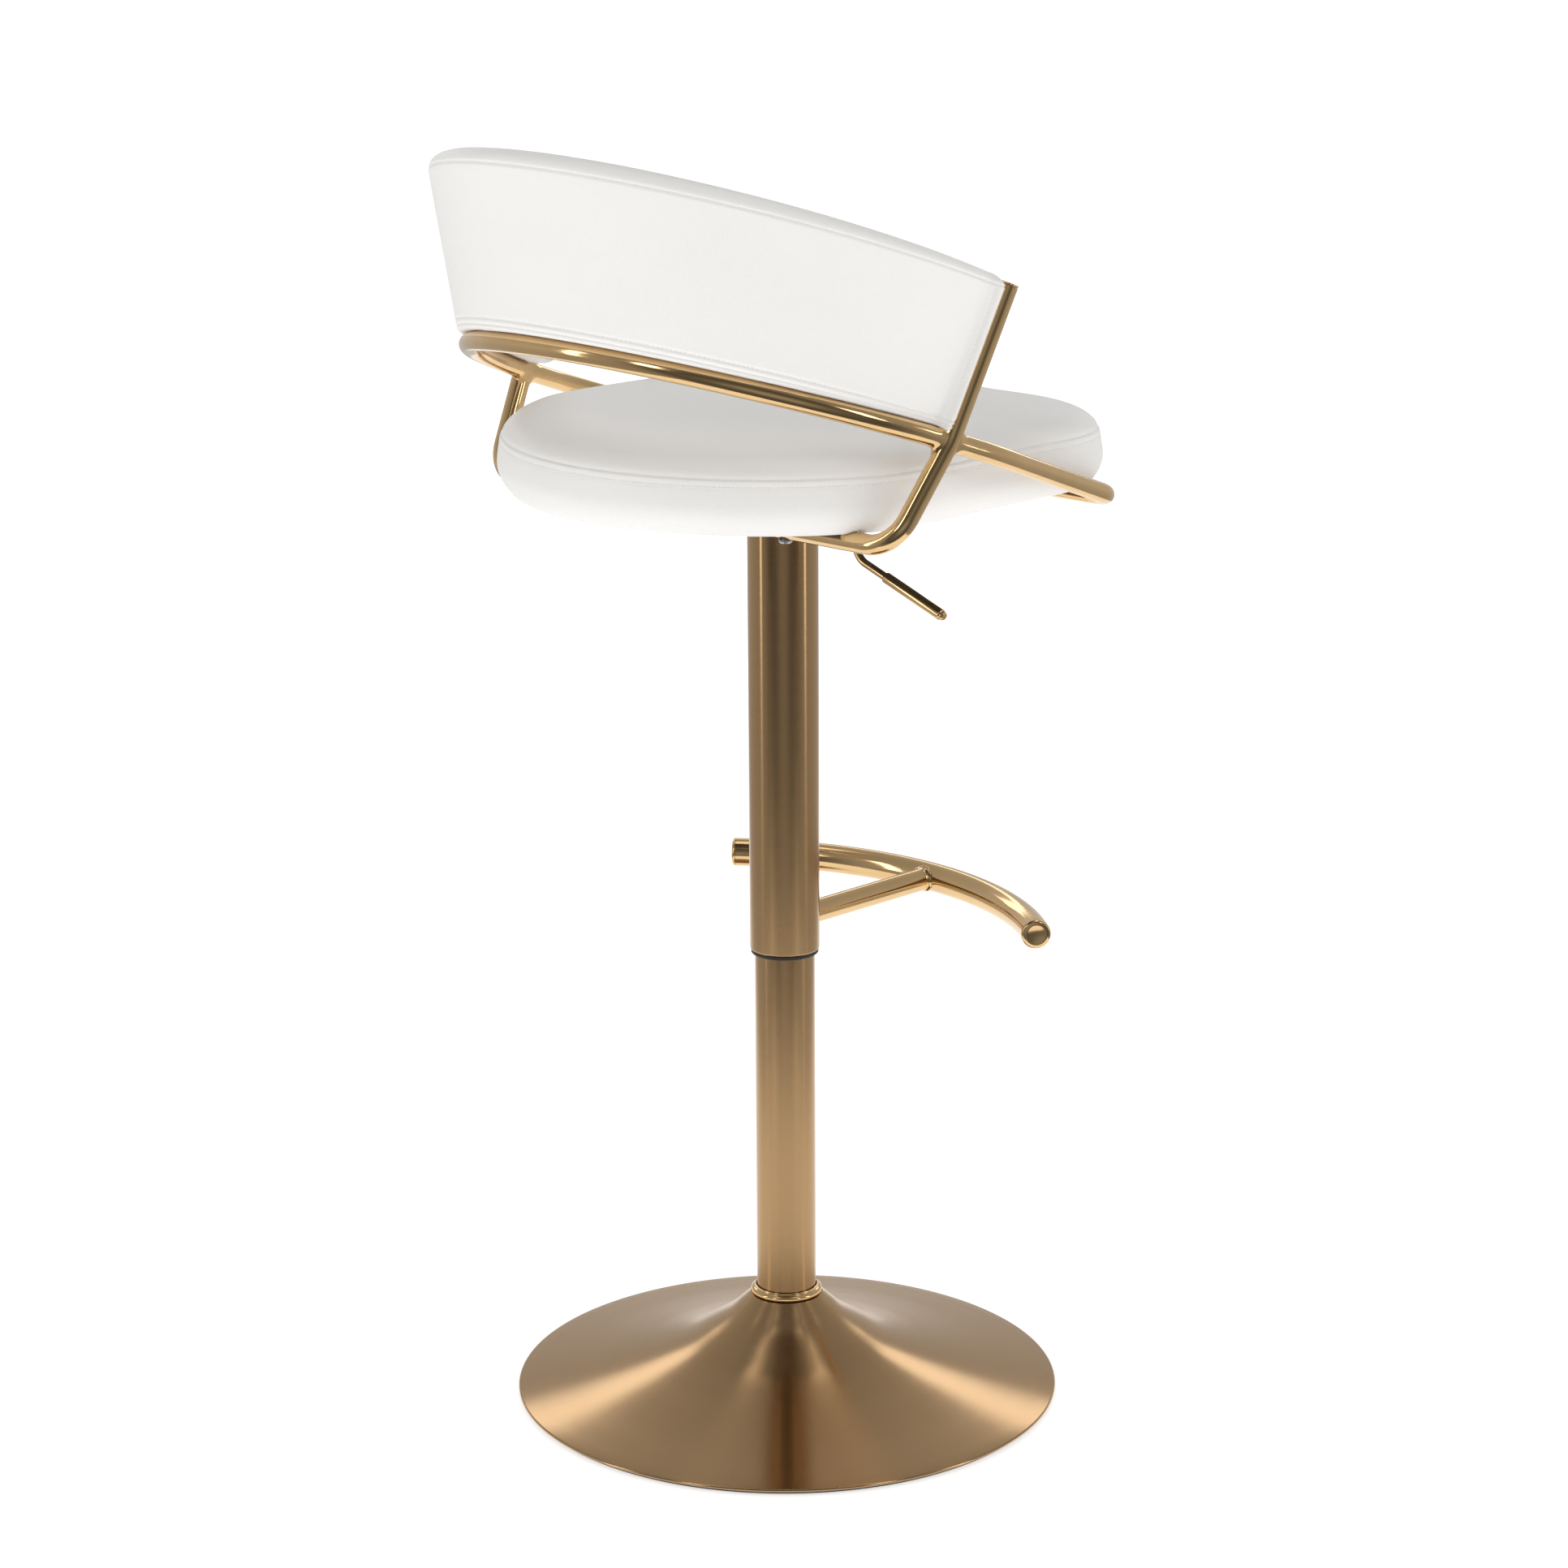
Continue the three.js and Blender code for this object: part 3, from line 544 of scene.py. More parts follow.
def stitches(name, line, outward, body):
    """A row of short sewn stitches that lie on a line of points."""
    pitch, length, width = size("stitch_pitch"), size("stitch_length"), size("stitch_width")
    shapes, travelled, due = [], 0.0, pitch
    for i in range(1, len(line)):
        travelled += (line[i] - line[i - 1]).length
        if travelled < due:
            continue
        due += pitch
        along = (line[i] - line[i - 1]).normalized()
        out = (outward[i] - along * outward[i].dot(along)).normalized()
        across = along.cross(out)
        rings, sides = 5, 6
        points = []
        for k in range(rings):
            t = (k + 0.5) / rings * 2 - 1
            girth = math.sqrt(1 - t * t) * width / 2
            lift = out * (0.25 * width - 0.5 * width * t * t)
            for j in range(sides):
                angle = 2 * math.pi * j / sides
                points.append(line[i] + along * t * length / 2 + lift
                              + (out * math.sin(angle) + across * math.cos(angle)) * girth)
        faces = grid_faces(rings, sides, closed_columns=True)
        faces += [list(range(sides))[::-1], [(rings - 1) * sides + j for j in range(sides)]]
        shapes.append((points, faces))
    return piece(name, joined(*shapes), "white_leather", body)


# ---- Frame lines ----------------------------------------------------------------------------------
def hoop_height(y):
    return HOOP_LEVEL + HOOP_SLOPE * y


def mirrored(corners):
    return corners + [Vector((-c.x, c.y, c.z)) for c in reversed(corners)]


def carrier_path():
    return bent(mirrored([POST_TOP, JOINT, POST_FOOT]), [60, 30, 30, 60], step=1.2)


def arm_path():
    front = (RUN_LEVEL - HOOP_LEVEL) / HOOP_SLOPE
    spread = HOOP_SIDE * math.cos(math.asin((JOINT.y - AXIS_Y) / HOOP_REAR))
    corners = [(spread, JOINT.y), (HOOP_SIDE, ARM_KNEE_Y), (ARM_FRONT_X, front)]
    return bent(mirrored([Vector((x, y, hoop_height(y))) for x, y in corners]), [150, 31, 31, 150], step=1.0)


def rail_path(steps=420):
    start = math.asin((JOINT.y - AXIS_Y) / HOOP_REAR)
    path = []
    for k in range(steps + 1):
        angle = start + (math.pi - 2 * start) * k / steps
        y = AXIS_Y + HOOP_REAR * math.sin(angle)
        path.append(Vector((HOOP_SIDE * math.cos(angle), y, hoop_height(y))))
    return path


def welded(shape, path, post, weld):
    """Spreads a tube's ends along the post that they meet, as a polished fillet."""
    points, faces = shape
    lines, post_tree = kdtree.KDTree(len(path)), kdtree.KDTree(len(post))
    for tree, line in ((lines, path), (post_tree, post)):
        for i, place in enumerate(line):
            tree.insert(place, i)
        tree.balance()
    moved = []
    for point in map(Vector, points):
        _, i, gap = post_tree.find(point)
        above = gap - FRAME_TUBE
        if above < weld:
            along = (post[min(i + 1, len(post) - 1)] - post[max(i - 1, 0)]).normalized()
            centre, _, _ = lines.find(point)
            side = (point - centre).dot(along) / FRAME_TUBE
            rise = weld - max(0.0, above)
            spread = weld - math.sqrt(max(0.0, weld ** 2 - rise ** 2))
            point = point + along * side * spread
        moved.append(point)
    return moved, faces


# ---- Seat and back forms --------------------------------------------------------------------------
def bezier(a, b, c, d, steps):
    line = []
    for k in range(1, steps + 1):
        t = k / steps
        line.append(Vector(a) * (1 - t) ** 3 + Vector(b) * 3 * t * (1 - t) ** 2
                    + Vector(c) * 3 * t ** 2 * (1 - t) + Vector(d) * t ** 3)
    return line


def seat_outline(count=420):
    """Evenly spaced points round the seat's plan with the way out at each."""
    start = math.radians(22)
    line = []
    for k in range(201):
        angle = start + (math.pi - 2 * start) * k / 200
        line.append(Vector((SEAT_ARC * math.cos(angle), AXIS_Y + SEAT_ARC * math.sin(angle))))
    x, y = line[0]
    side, front = 199, -205
    line += bezier((-x, y), (-x - 9, y - 24), (-side, -20), (-side, -108), 60)
    line += bezier((-side, -108), (-side, -170), (34 - side, front + 4), (-110, front + 2), 60)
    line += bezier((-110, front + 2), (-60, front), (60, front), (110, front + 2), 60)
    line += bezier((110, front + 2), (side - 34, front + 4), (side, -170), (side, -108), 60)
    line += bezier((side, -108), (side, -20), (x + 9, y - 24), (x, y), 60)
    travelled = [0.0]
    for a, b in zip(line, line[1:]):
        travelled.append(travelled[-1] + (b - a).length)
    even, index = [], 0
    for k in range(count):
        due = travelled[-1] * k / count
        while travelled[index + 1] < due:
            index += 1
        t = (due - travelled[index]) / max(1e-9, travelled[index + 1] - travelled[index])
        even.append(line[index].lerp(line[index + 1], t))
    outward = []
    for k in range(count):
        along = even[(k + 1) % count] - even[k - 1]
        outward.append(Vector((along.y, -along.x)).normalized())
    return even, outward


def back_point(s, t, depth):
    """A point of the back: s from -1 to 1 across, t from 0 to 1 up, depth inwards from the outer face."""
    angle = math.radians(s * (BACK_LOW_ANGLE + (BACK_HIGH_ANGLE - BACK_LOW_ANGLE) * t))
    low = BACK_CLEAR + hoop_height(AXIS_Y + BACK_RADIUS * math.cos(angle))
    high = BACK_TOP_LEVEL + BACK_TOP_SLOPE * (AXIS_Y + 266 * math.cos(angle))
    z = low + (high - low) * t
    radius = BACK_RADIUS + BACK_FLARE * (z - BACK_DATUM) - depth
    return Vector((radius * math.sin(angle), AXIS_Y + radius * math.cos(angle), z))


BACK_WIDTH, BACK_HEIGHT = 713, 128     # along the middle of the back
TOP_ROLL, SIDE_ROLL, BOTTOM_ROLL = 11.0, 5.0, 5.0
BACK_THICKNESS = 30
LINING_REAR, LINING_FRONT = 8.2, 18.2   # depths of the two covers' inner faces
ROW_TOP, ROW_SIDE, ROW_BOTTOM = 9, 10.5, 10     # from the back's edges to its stitch rows
CORNER = 9.0
BACK_DROP = 4.0                         # how far the covers reach down onto the rail
POST_HUG, HUG_REACH = 6.0, 6.4          # how far the rear cover stands proud beside a post, and where
PARTING = 13.0                          # depth of the seam between the rear and front covers


def graded(length, near, near_step, far_step):
    """Distances from 0 to length, closely spaced near both ends."""
    marks = [k * near_step for k in range(round(near / near_step) + 1)]
    middle = length - 2 * near
    count = max(1, round(middle / far_step))
    inner = [near + middle * k / count for k in range(1, count)]
    return marks + inner + [length - m for m in reversed(marks)]


def rolled(distance, reach):
    """1 at an edge and 0 from a reach away, along a quarter circle."""
    inside = min(1.0, max(0.0, distance / reach))
    return 1 - math.sqrt(1 - (1 - inside) ** 2)


def crease(distance, place, depth, width=0.9):
    return depth * math.exp(-((distance - place) / width) ** 2)


def back_sheet(depth_at, flip):
    """A sheet over the back: depth_at gives its depth from the distances to side, bottom and top."""
    across = graded(BACK_WIDTH, 20, 0.8, 5)
    up = graded(BACK_HEIGHT, 20, 0.8, 4)
    points = []
    for b in up:
        for a in across:
            from_side, from_end = min(a, BACK_WIDTH - a), min(b, BACK_HEIGHT - b)
            px, py = a, b
            if from_side < CORNER and from_end < CORNER:
                u, v = CORNER - from_side, CORNER - from_end
                pull = max(u, v) / math.hypot(u, v)
                px += (u - u * pull) * (1 if a < BACK_WIDTH / 2 else -1)
                py += (v - v * pull) * (1 if b < BACK_HEIGHT / 2 else -1)
            s, t = 2 * px / BACK_WIDTH - 1, (py - BACK_DROP * (1 - py / BACK_HEIGHT)) / BACK_HEIGHT
            depth = depth_at(from_side, b, BACK_HEIGHT - b, s, t)
            points.append(back_point(s, t, depth))
    faces = grid_faces(len(up), len(across))
    if flip:
        faces = [face[::-1] for face in faces]
    return points, faces, len(up), len(across)


def back_cover(outer, inner):
    """Two sheets of the back closed round their edge into one pad."""
    front_points, front_faces, rows, columns = back_sheet(outer, False)
    rear_points, rear_faces, _, _ = back_sheet(inner, True)
    start = len(front_points)
    rim = [j for j in range(columns)] + [i * columns + columns - 1 for i in range(1, rows)]
    rim += [(rows - 1) * columns + j for j in range(columns - 2, -1, -1)]
    rim += [i * columns for i in range(rows - 2, 0, -1)]
    faces = front_faces + [[start + i for i in face] for face in rear_faces]
    for a, b in zip(rim, rim[1:] + rim[:1]):
        faces.append([b, a, start + a, start + b])
    return front_points + rear_points, faces


# ---- Operators ------------------------------------------------------------------------------------
class PieceOperator:
    bl_options = {"REGISTER"}

    def execute(self, context):
        self.build()
        return {"FINISHED"}


class STOOL_OT_pedestal(PieceOperator, bpy.types.Operator):
    """Builds the flared base, its collar and the floor pad"""
    bl_idname = "stool.pedestal"
    bl_label = "Pedestal"

    def build(self):
        flare = [Vector(p) for p in curved(FLARE, 10)]
        inside = [Vector((p.x - 1.3, p.y - 1.5)) for p in reversed(flare[:-6])]
        rim = softened([(221, 2.4), (223.3, 2.4), (225, 3.7), (224.2, 5.3), flare[0]], 1.2)
        lip = [Vector((25.1, BASE_TOP)), Vector((25.1, BASE_TOP - 1.6))]
        profile = rim[:-1] + flare + lip + inside + [Vector((221, 4.2))]
        piece("base_shell_turned", turned(profile, 256), "brushed_gold", "base", ["base_shell"])
        bead = BASE_TOP + 0.3
        collar = softened([(25, bead), (28.2, bead), (29.6, bead + 1.4), (29.4, bead + 3.6), (27.6, bead + 5),
                           (26.4, bead + 5.5), (26.2, bead + 7), (25, bead + 7)], 0.9, closed=True)
        piece("base_collar_ring", turned(collar, 160), "polished_gold", "base", ["base_collar"])
        pad = softened([(0, 0), (220.4, 0), (221, 0.6), (221, 2), (0, 2)], 0.5)
        piece("floor_pad_disc", turned(pad, 192), "black_plastic", "base", ["floor_pad"])


class STOOL_OT_column(PieceOperator, bpy.types.Operator):
    """Builds the column tube, the sliding sleeve and the bushing between them"""
    bl_idname = "stool.column"
    bl_label = "Column"

    def build(self):
        low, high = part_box("column_tube")
        inner = COLUMN_RADIUS - 2
        bottom, top = low.z / MM, high.z / MM
        tube = softened([(inner, bottom), (COLUMN_RADIUS, bottom), (COLUMN_RADIUS, top), (inner, top)], 0.5,
                        closed=True)
        piece("column_tube_turned", turned(tube), "brushed_gold", "base", ["column_tube"])
        low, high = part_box("sleeve")
        inner = SLEEVE_RADIUS - 1.5
        bottom, top = low.z / MM, high.z / MM
        sleeve = softened([(inner, bottom), (SLEEVE_RADIUS - 0.7, bottom), (SLEEVE_RADIUS, bottom + 1),
                           (SLEEVE_RADIUS, top), (inner, top)], 0.5, closed=True)
        piece("sleeve_turned", turned(sleeve), "brushed_gold", "seat_frame", ["sleeve"])
        low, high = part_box("sleeve_bushing")
        bottom, top = low.z / MM, high.z / MM
        bushing = softened([(COLUMN_RADIUS + 0.3, bottom), (SLEEVE_RADIUS - 0.9, bottom),
                            (SLEEVE_RADIUS - 0.9, bottom + 2.7), (inner - 0.3, bottom + 2.7),
                            (inner - 0.3, top), (COLUMN_RADIUS + 0.3, top)], 0.5, closed=True)
        piece("sleeve_bushing_ring", turned(bushing, 128), "black_plastic", "seat_frame", ["sleeve_bushing"])


class STOOL_OT_footrest(PieceOperator, bpy.types.Operator):
    """Builds the curved footrest bar, its end caps, the bracket and their weld beads"""
    bl_idname = "stool.footrest"
    bl_label = "Footrest"

    def build(self):
        reach = math.asin(FOOT_HALF_SPAN / FOOT_ARC)
        centre = Vector((0, FOOT_FRONT + FOOT_ARC, FOOT_LEVEL))

        def on_bar(angle):
            return centre + Vector((math.sin(angle), -math.cos(angle), 0)) * FOOT_ARC

        path = [on_bar(-reach + 2 * reach * k / 160) for k in range(161)]
        piece("footrest_bar_bent", swept(path, FOOT_TUBE, 56), "polished_gold", "seat_frame",
              ["footrest_bar"])
        cap = softened([(0, -1), (11.2, -1), (11.2, 0.3), (FOOT_TUBE, 0.3), (FOOT_TUBE, 1.4), (11.1, 2.9),
                        (8.6, 3.4), (6.2, 3.1), (0, 2.5)], 0.9)
        for side, angle in (("right", reach), ("left", -reach)):
            way = Vector((math.cos(angle), math.sin(angle), 0)) * (1 if side == "right" else -1)
            piece(f"footrest_cap_{side}_turned", placed(turned(cap, 56), on_bar(angle), way),
                  "polished_gold", "seat_frame", [f"footrest_cap_{side}"])

        start, end = Vector((0, -SLEEVE_RADIUS + 1, FOOT_LEVEL)), Vector((0, FOOT_FRONT + 4, FOOT_LEVEL))
        line = straight(start, end, 1.0) + [end]

        def girth(i, angle):
            gap = line[i].y - (FOOT_FRONT + FOOT_TUBE)
            near = max(0.0, 1 - max(0.0, gap) / 4)
            return BRACKET_TUBE + 2.6 * (1 - math.sqrt(max(0.0, 1 - near ** 2))) * abs(math.cos(angle))

        piece("footrest_bracket_tube", swept(line, BRACKET_TUBE, 56, ripple=girth), "polished_gold",
              "seat_frame", ["footrest_bracket"])
        beads = []
        for weld in ("bar", "sleeve"):
            loop = []
            for k in range(120):
                angle = 2 * math.pi * k / 120
                x, z = (BRACKET_TUBE + 0.4) * math.cos(angle), (BRACKET_TUBE + 0.4) * math.sin(angle)
                if weld == "bar":
                    z *= 0.985
                    around = math.sqrt(max(0.0, (FOOT_TUBE + 0.2) ** 2 - z ** 2))
                    y = FOOT_FRONT + around + x * x / (2 * FOOT_ARC)
                else:
                    y = -math.sqrt((SLEEVE_RADIUS + 0.1) ** 2 - x ** 2)
                loop.append(Vector((x, y, FOOT_LEVEL + z)))
            beads.append(swept(loop, 1.5, 14, closed=True,
                               ripple=lambda i, angle: 1.45 + 0.12 * math.sin(i * 2.1)))
        piece("footrest_weld_beads", joined(*beads), "polished_gold", "seat_frame")


class STOOL_OT_frame_tubes(PieceOperator, bpy.types.Operator):
    """Builds the posts and carrier, the back rail, the arm loop and the plugs in the post tops"""
    bl_idname = "stool.frame_tubes"
    bl_label = "Frame Tubes"

    def build(self):
        weld = size("weld")
        carrier, rail, arms = carrier_path(), rail_path(), arm_path()
        piece("carrier_tube_bent", swept(carrier, FRAME_TUBE, 40), "polished_gold", "seat_frame",
              ["carrier_tube"])
        piece("back_rail_bent", welded(swept(rail, FRAME_TUBE, 48), rail, carrier, weld),
              "polished_gold", "seat_frame", ["back_rail_tube"])
        piece("arm_loop_bent", welded(swept(arms, FRAME_TUBE, 48), arms, carrier, weld),
              "polished_gold", "seat_frame", ["arm_loop_tube"])
        plug = softened([(0, -1), (6, -1), (6, 0.3), (FRAME_TUBE, 0.3), (FRAME_TUBE, 1.5),
                         (FRAME_TUBE - 1, 2.1),
                         (0, 2.3)], 0.6)
        for side, top, below in (("right", carrier[0], carrier[3]), ("left", carrier[-1], carrier[-4])):
            piece(f"post_plug_{side}_turned", placed(turned(plug, 40), top, top - below),
                  "polished_gold", "seat_frame", [f"post_plug_{side}"])


class STOOL_OT_lever(PieceOperator, bpy.types.Operator):
    """Builds the height lever's rod and grip"""
    bl_idname = "stool.lever"
    bl_label = "Height Lever"

    def build(self):
        start, end = Vector((-113, 0, 707)), Vector((-175, 0, 685))
        corners = [(-45.4, 0, 756.5), (-72, 0, 756), (-84, 0, 717.3), start.lerp(end, 0.9)]
        rod = bent(corners, [12, 16], step=2.0, bend_steps=14)
        piece("lever_rod_bent", swept(rod, 3.25, 32), "polished_gold", "lever", ["lever_rod"])
        length = (end - start).length
        grip = softened([(0, 2), (3.3, 2), (3.55, 0), (4.1, -0.2), (4.5, 0.8), (4.5, length - 3.6),
                         (3.7, length - 3),
                         (3.7, length - 1.6), (2.9, length), (0, length)], 0.7)
        piece("lever_grip_turned", placed(turned(grip, 48), start, end - start), "polished_gold", "lever",
              ["lever_grip"])


class STOOL_OT_seat(PieceOperator, bpy.types.Operator):
    """Builds the seat cushion with its seam and stitching"""
    bl_idname = "stool.seat"
    bl_label = "Seat Cushion"

    SEAM = 811.0

    def side_reach(self, z, bottom):
        """How far the side band stands out of the seat's plan at a height."""
        t = (z - bottom) / (self.SEAM - bottom)
        tuck = 8 * max(0.0, 1 - t / 0.55) ** 2
        return PLAN_EASE + size("seat_bulge") * 4 * t * (1 - t) * (0.6 + 0.8 * (1 - t)) - tuck

    def build(self):
        low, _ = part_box("seat_cushion")
        bottom = low.z / MM
        seam, crown, depth = self.SEAM, size("seat_crown"), size("seam_depth")
        outline, outward = seat_outline()
        count = len(outline)
        centre = Vector((0, -2))
        rows = []

        def ring(reach, z):
            rows.append([(outline[j] + outward[j] * reach, z) for j in range(count)])

        edge = bottom - WRAP
        band = [edge + 0.3 + (seam - 3 - edge) * k / 26 for k in range(27)]
        band += [seam - 3 + 0.5 * k for k in range(1, 6)]
        ring(PLAN_EASE - BOARD_INSET, bottom + 14)
        ring(PLAN_EASE - BOARD_INSET, bottom + 0.2)
        ring(-9, edge)
        for z in band:
            reach = self.side_reach(z, edge) - crease(z, seam, depth) - crease(z, seam - 5.5, 0.35 * depth)
            ring(reach, z)
        ring(PLAN_EASE - depth, seam)
        fractions = [step / SEAT_REACH for step in (0.5, 1, 1.6, 2.4, 3.4)]
        while fractions[-1] < 0.985:
            fractions.append(fractions[-1] + 0.006 + 0.035 * fractions[-1])
        for f in fractions:
            d = min(1.0, f) * SEAT_REACH
            rise = crown * (0.45 * (1 - math.exp(-d / 6)) + 0.55 * (1 - math.exp(-d / 30)))
            lift = rise - crease(d, 0, 0.5 * depth)
            margin = PLAN_EASE - depth * math.exp(-d)
            kept = 1 - min(1.0, f)
            rows.append([(centre + (outline[j] + outward[j] * margin - centre) * kept, seam + lift)
                         for j in range(count)])
        points = []
        wrinkle = size("wrinkle")
        for row in rows:
            for j, (flat, z) in enumerate(row):
                point = Vector((flat.x, flat.y, z))
                slow = wander(point, 55) * wrinkle
                near_seam = math.exp(-abs(z - seam) / 7)
                pucker = wander(point, 8, 3.0) * 0.35 * near_seam
                out = Vector((outward[j].x, outward[j].y, 0))
                upward = 1.0 if z > seam else 0.0
                if z > edge + 3:
                    point += (out * (1 - upward) + Vector((0, 0, upward))) * (slow + pucker)
                points.append(point)
        faces = grid_faces(len(rows), count, closed_columns=True)
        points = push_clear(points, carrier_path(), FRAME_TUBE + CLEARANCE)
        points = push_clear(points, arm_path(), FRAME_TUBE + CLEARANCE)
        faces.append(list(range(count))[::-1])
        last = (len(rows) - 1) * count
        points.append(sum((points[last + j] for j in range(count)), Vector()) / count)
        faces += [[last + j, last + (j + 1) % count, len(points) - 1] for j in range(count)]
        cushion = piece("seat_cushion_leather", (points, faces), "white_leather", "seat_frame",
                        ["seat_cushion"])

        level = seam - 5.5
        sewn = min(range(len(band)), key=lambda k: abs(band[k] - level)) + 3
        line = [points[sewn * count + j % count] for j in range(count + 1)]
        ways = [Vector((outward[j % count].x, outward[j % count].y, 0)) for j in range(count + 1)]
        stitches("seat_stitches", line, ways, "seat_frame")


class STOOL_OT_backrest(PieceOperator, bpy.types.Operator):
    """Builds the rear and front covers of the back with their stitch rows"""
    bl_idname = "stool.backrest"
    bl_label = "Backrest"

    @staticmethod
    def edge_roll(side, below, above, top_reach):
        top = rolled(above, top_reach)
        bottom = rolled(below, BOTTOM_ROLL)
        flank = rolled(side, SIDE_ROLL)
        return 1 - (1 - top) * (1 - bottom) * (1 - flank)

    def rear_face(self, side, below, above, s, t):
        """The rear cover swells round the posts' inner halves, down to the rail."""
        depth = (PARTING - 0.2) * self.edge_roll(side, below, above, TOP_ROLL)
        inward = math.exp(-(max(0.0, side - HUG_REACH) / 6) ** 2)
        hug = POST_HUG * inward * min(1.0, max(0.0, side) / HUG_REACH)
        depth -= hug * (1.75 - 0.75 * min(1.0, t)) * min(1.0, above / 6)
        sunk = size("seam_depth") * 0.75
        depth += crease(above, ROW_TOP, sunk) + crease(side, ROW_SIDE, sunk) * (1 if above > ROW_TOP else 0)
        depth += crease(below, ROW_BOTTOM, sunk) + crease(below, 5.6, sunk)
        point = back_point(s, t, 0)
        inside = min(1.0, side / 12, below / 12, above / 14)
        return depth - wander(point, 48, 7.0) * size("wrinkle") * inside

    def rear_lining(self, side, below, above, s, t):
        edge = max(0.0, 1 - min(side, below, above) / 7)
        return LINING_REAR + (PARTING - 0.15 - LINING_REAR) * edge

    def front_face(self, side, below, above, s, t):
        arch = math.sin(math.pi * min(1, max(0, t))) ** 0.7
        full = BACK_THICKNESS + size("back_crown") * min(1.0, side / 60) ** 0.5 * arch
        roll = self.edge_roll(side, below, above, TOP_ROLL + 3)
        point = back_point(s, t, BACK_THICKNESS)
        return PARTING + 0.2 + (full - PARTING - 0.2) * (1 - roll) + wander(point, 52, 11.0) * size("wrinkle")

    def front_lining(self, side, below, above, s, t):
        edge = max(0.0, 1 - min(side, below, above) / 7)
        return LINING_FRONT - (LINING_FRONT - PARTING - 0.15) * edge

    def build(self):
        posts = carrier_path()
        rail = rail_path()
        for name, outer, inner, node in (
                ("backrest_rear_cover", self.rear_face, self.rear_lining, "backrest_rear_pad"),
                ("backrest_front_cover", self.front_lining, self.front_face, "backrest_front_pad")):
            points, faces = back_cover(outer, inner)
            points = push_clear(points, posts, FRAME_TUBE + CLEARANCE)
            points = push_clear(points, rail, FRAME_TUBE + CLEARANCE)
            cover = piece(name, (points, faces), "white_leather", "seat_frame", [node])

        def sewn_line(name, places):
            line, ways = [], []
            for s, t in places:
                side, below = (1 - abs(s)) * BACK_WIDTH / 2, t * BACK_HEIGHT
                depth = self.rear_face(side, below, BACK_HEIGHT - below, s, t)
                point = back_point(s, t - BACK_DROP * (1 - t) / BACK_HEIGHT, depth)
                line.append(point)
                ways.append(Vector((point.x, point.y - AXIS_Y, 0)).normalized())
            stitches(name, line, ways, "seat_frame")

        rows = 900
        margin, top, base = ROW_SIDE / BACK_WIDTH * 2, 1 - ROW_TOP / BACK_HEIGHT, ROW_BOTTOM / BACK_HEIGHT
        spread = [-1 + margin + (2 - 2 * margin) * k / rows for k in range(rows + 1)]
        sewn_line("backrest_stitches_top", [(s, top) for s in spread])
        sewn_line("backrest_stitches_bottom", [(s, base) for s in spread])
        for side, sign in (("right", 1), ("left", -1)):
            climb = [base + (top - base) * k / 200 for k in range(201)]
            sewn_line(f"backrest_stitches_{side}", [(sign * (1 - margin), t) for t in climb])


class STOOL_OT_hardware(PieceOperator, bpy.types.Operator):
    """Gives the CAD pieces that stay in view their finishes and softens their edges"""
    bl_idname = "stool.hardware"
    bl_label = "Hardware"

    def build(self):
        slots = {row["slot"] for row in frame["record"]["materials"]}
        for node in frame["nodes"].values():
            if node.hide_render:
                continue
            for index, held in enumerate(node.material_slots):
                if held.material and held.material.name.split(".")[0] in slots:
                    node.material_slots[index].material = finish_for(held.material.name.split(".")[0])
            bevel = node.modifiers.new("edge", "BEVEL")
            bevel.width = 0.3 * MM
            bevel.segments = 2
            bevel.limit_method = "ANGLE"
            bevel.angle_limit = math.radians(50)


# ---- Studio ---------------------------------------------------------------------------------------
CAMERA_PLACE = Vector((-2.2359, 2.2359, 1.373))
CAMERA_TURN = (math.radians(90 - 15.1), 0, math.radians(225))
CAMERA_ROLL = math.radians(-0.29)
CAMERA_LENS = 93.17


# Name, reach towards the camera, away from it and sideways, drop, glow, and if it is reflected.
FLOORS = (
    ("floor", 30.0, 30.0, 30.0, 0.0008, 0.95, False),
    ("floor_sweep", 0.9, 2.4, 0.8, 0.0004, 0.58, True),
)
# Name, azimuth, elevation, distance, width, height, power of each soft panel, and if it is reflected.
LAMPS = (
    ("front_soft", 135, 34, 3.0, 2.6, 1.4, 10.5, False),
    ("top_soft", 315, 86, 2.6, 2.0, 2.0, 15, True),
    ("front_left", 92, 30, 3.2, 0.5, 1.0, 6, True),
    ("front_right", 178, 30, 3.2, 0.5, 1.0, 6, True),
    ("side_left", 60, 14, 3.2, 0.35, 2.2, 8, True),
    ("side_right", 210, 14, 3.2, 0.35, 2.2, 8, True),
    ("rear_left", 341, 20, 3.0, 0.9, 0.5, 2.3, True),
    ("rear_right", 289, 20, 3.0, 0.9, 0.5, 2.3, True),
    ("rear_middle", 315, 22, 3.2, 2.0, 0.3, 3, True),
)
# Brightness of the room from opposite the camera (0) to behind it (1), and from below (0) to above (1).
ROOM_ROUND = [(place, (level,) * 3) for place, level in
              ((0.0, 0.62), (1.0, 0.36), (0.5, 0.5), (0.75, 0.36), (0.88, 0.1), (0.96, 0.16))]
ROOM_UP = [(place, (level,) * 3) for place, level in ((0.0, 0.6), (1.0, 0.6), (0.5, 1.0), (0.8, 0.8))]


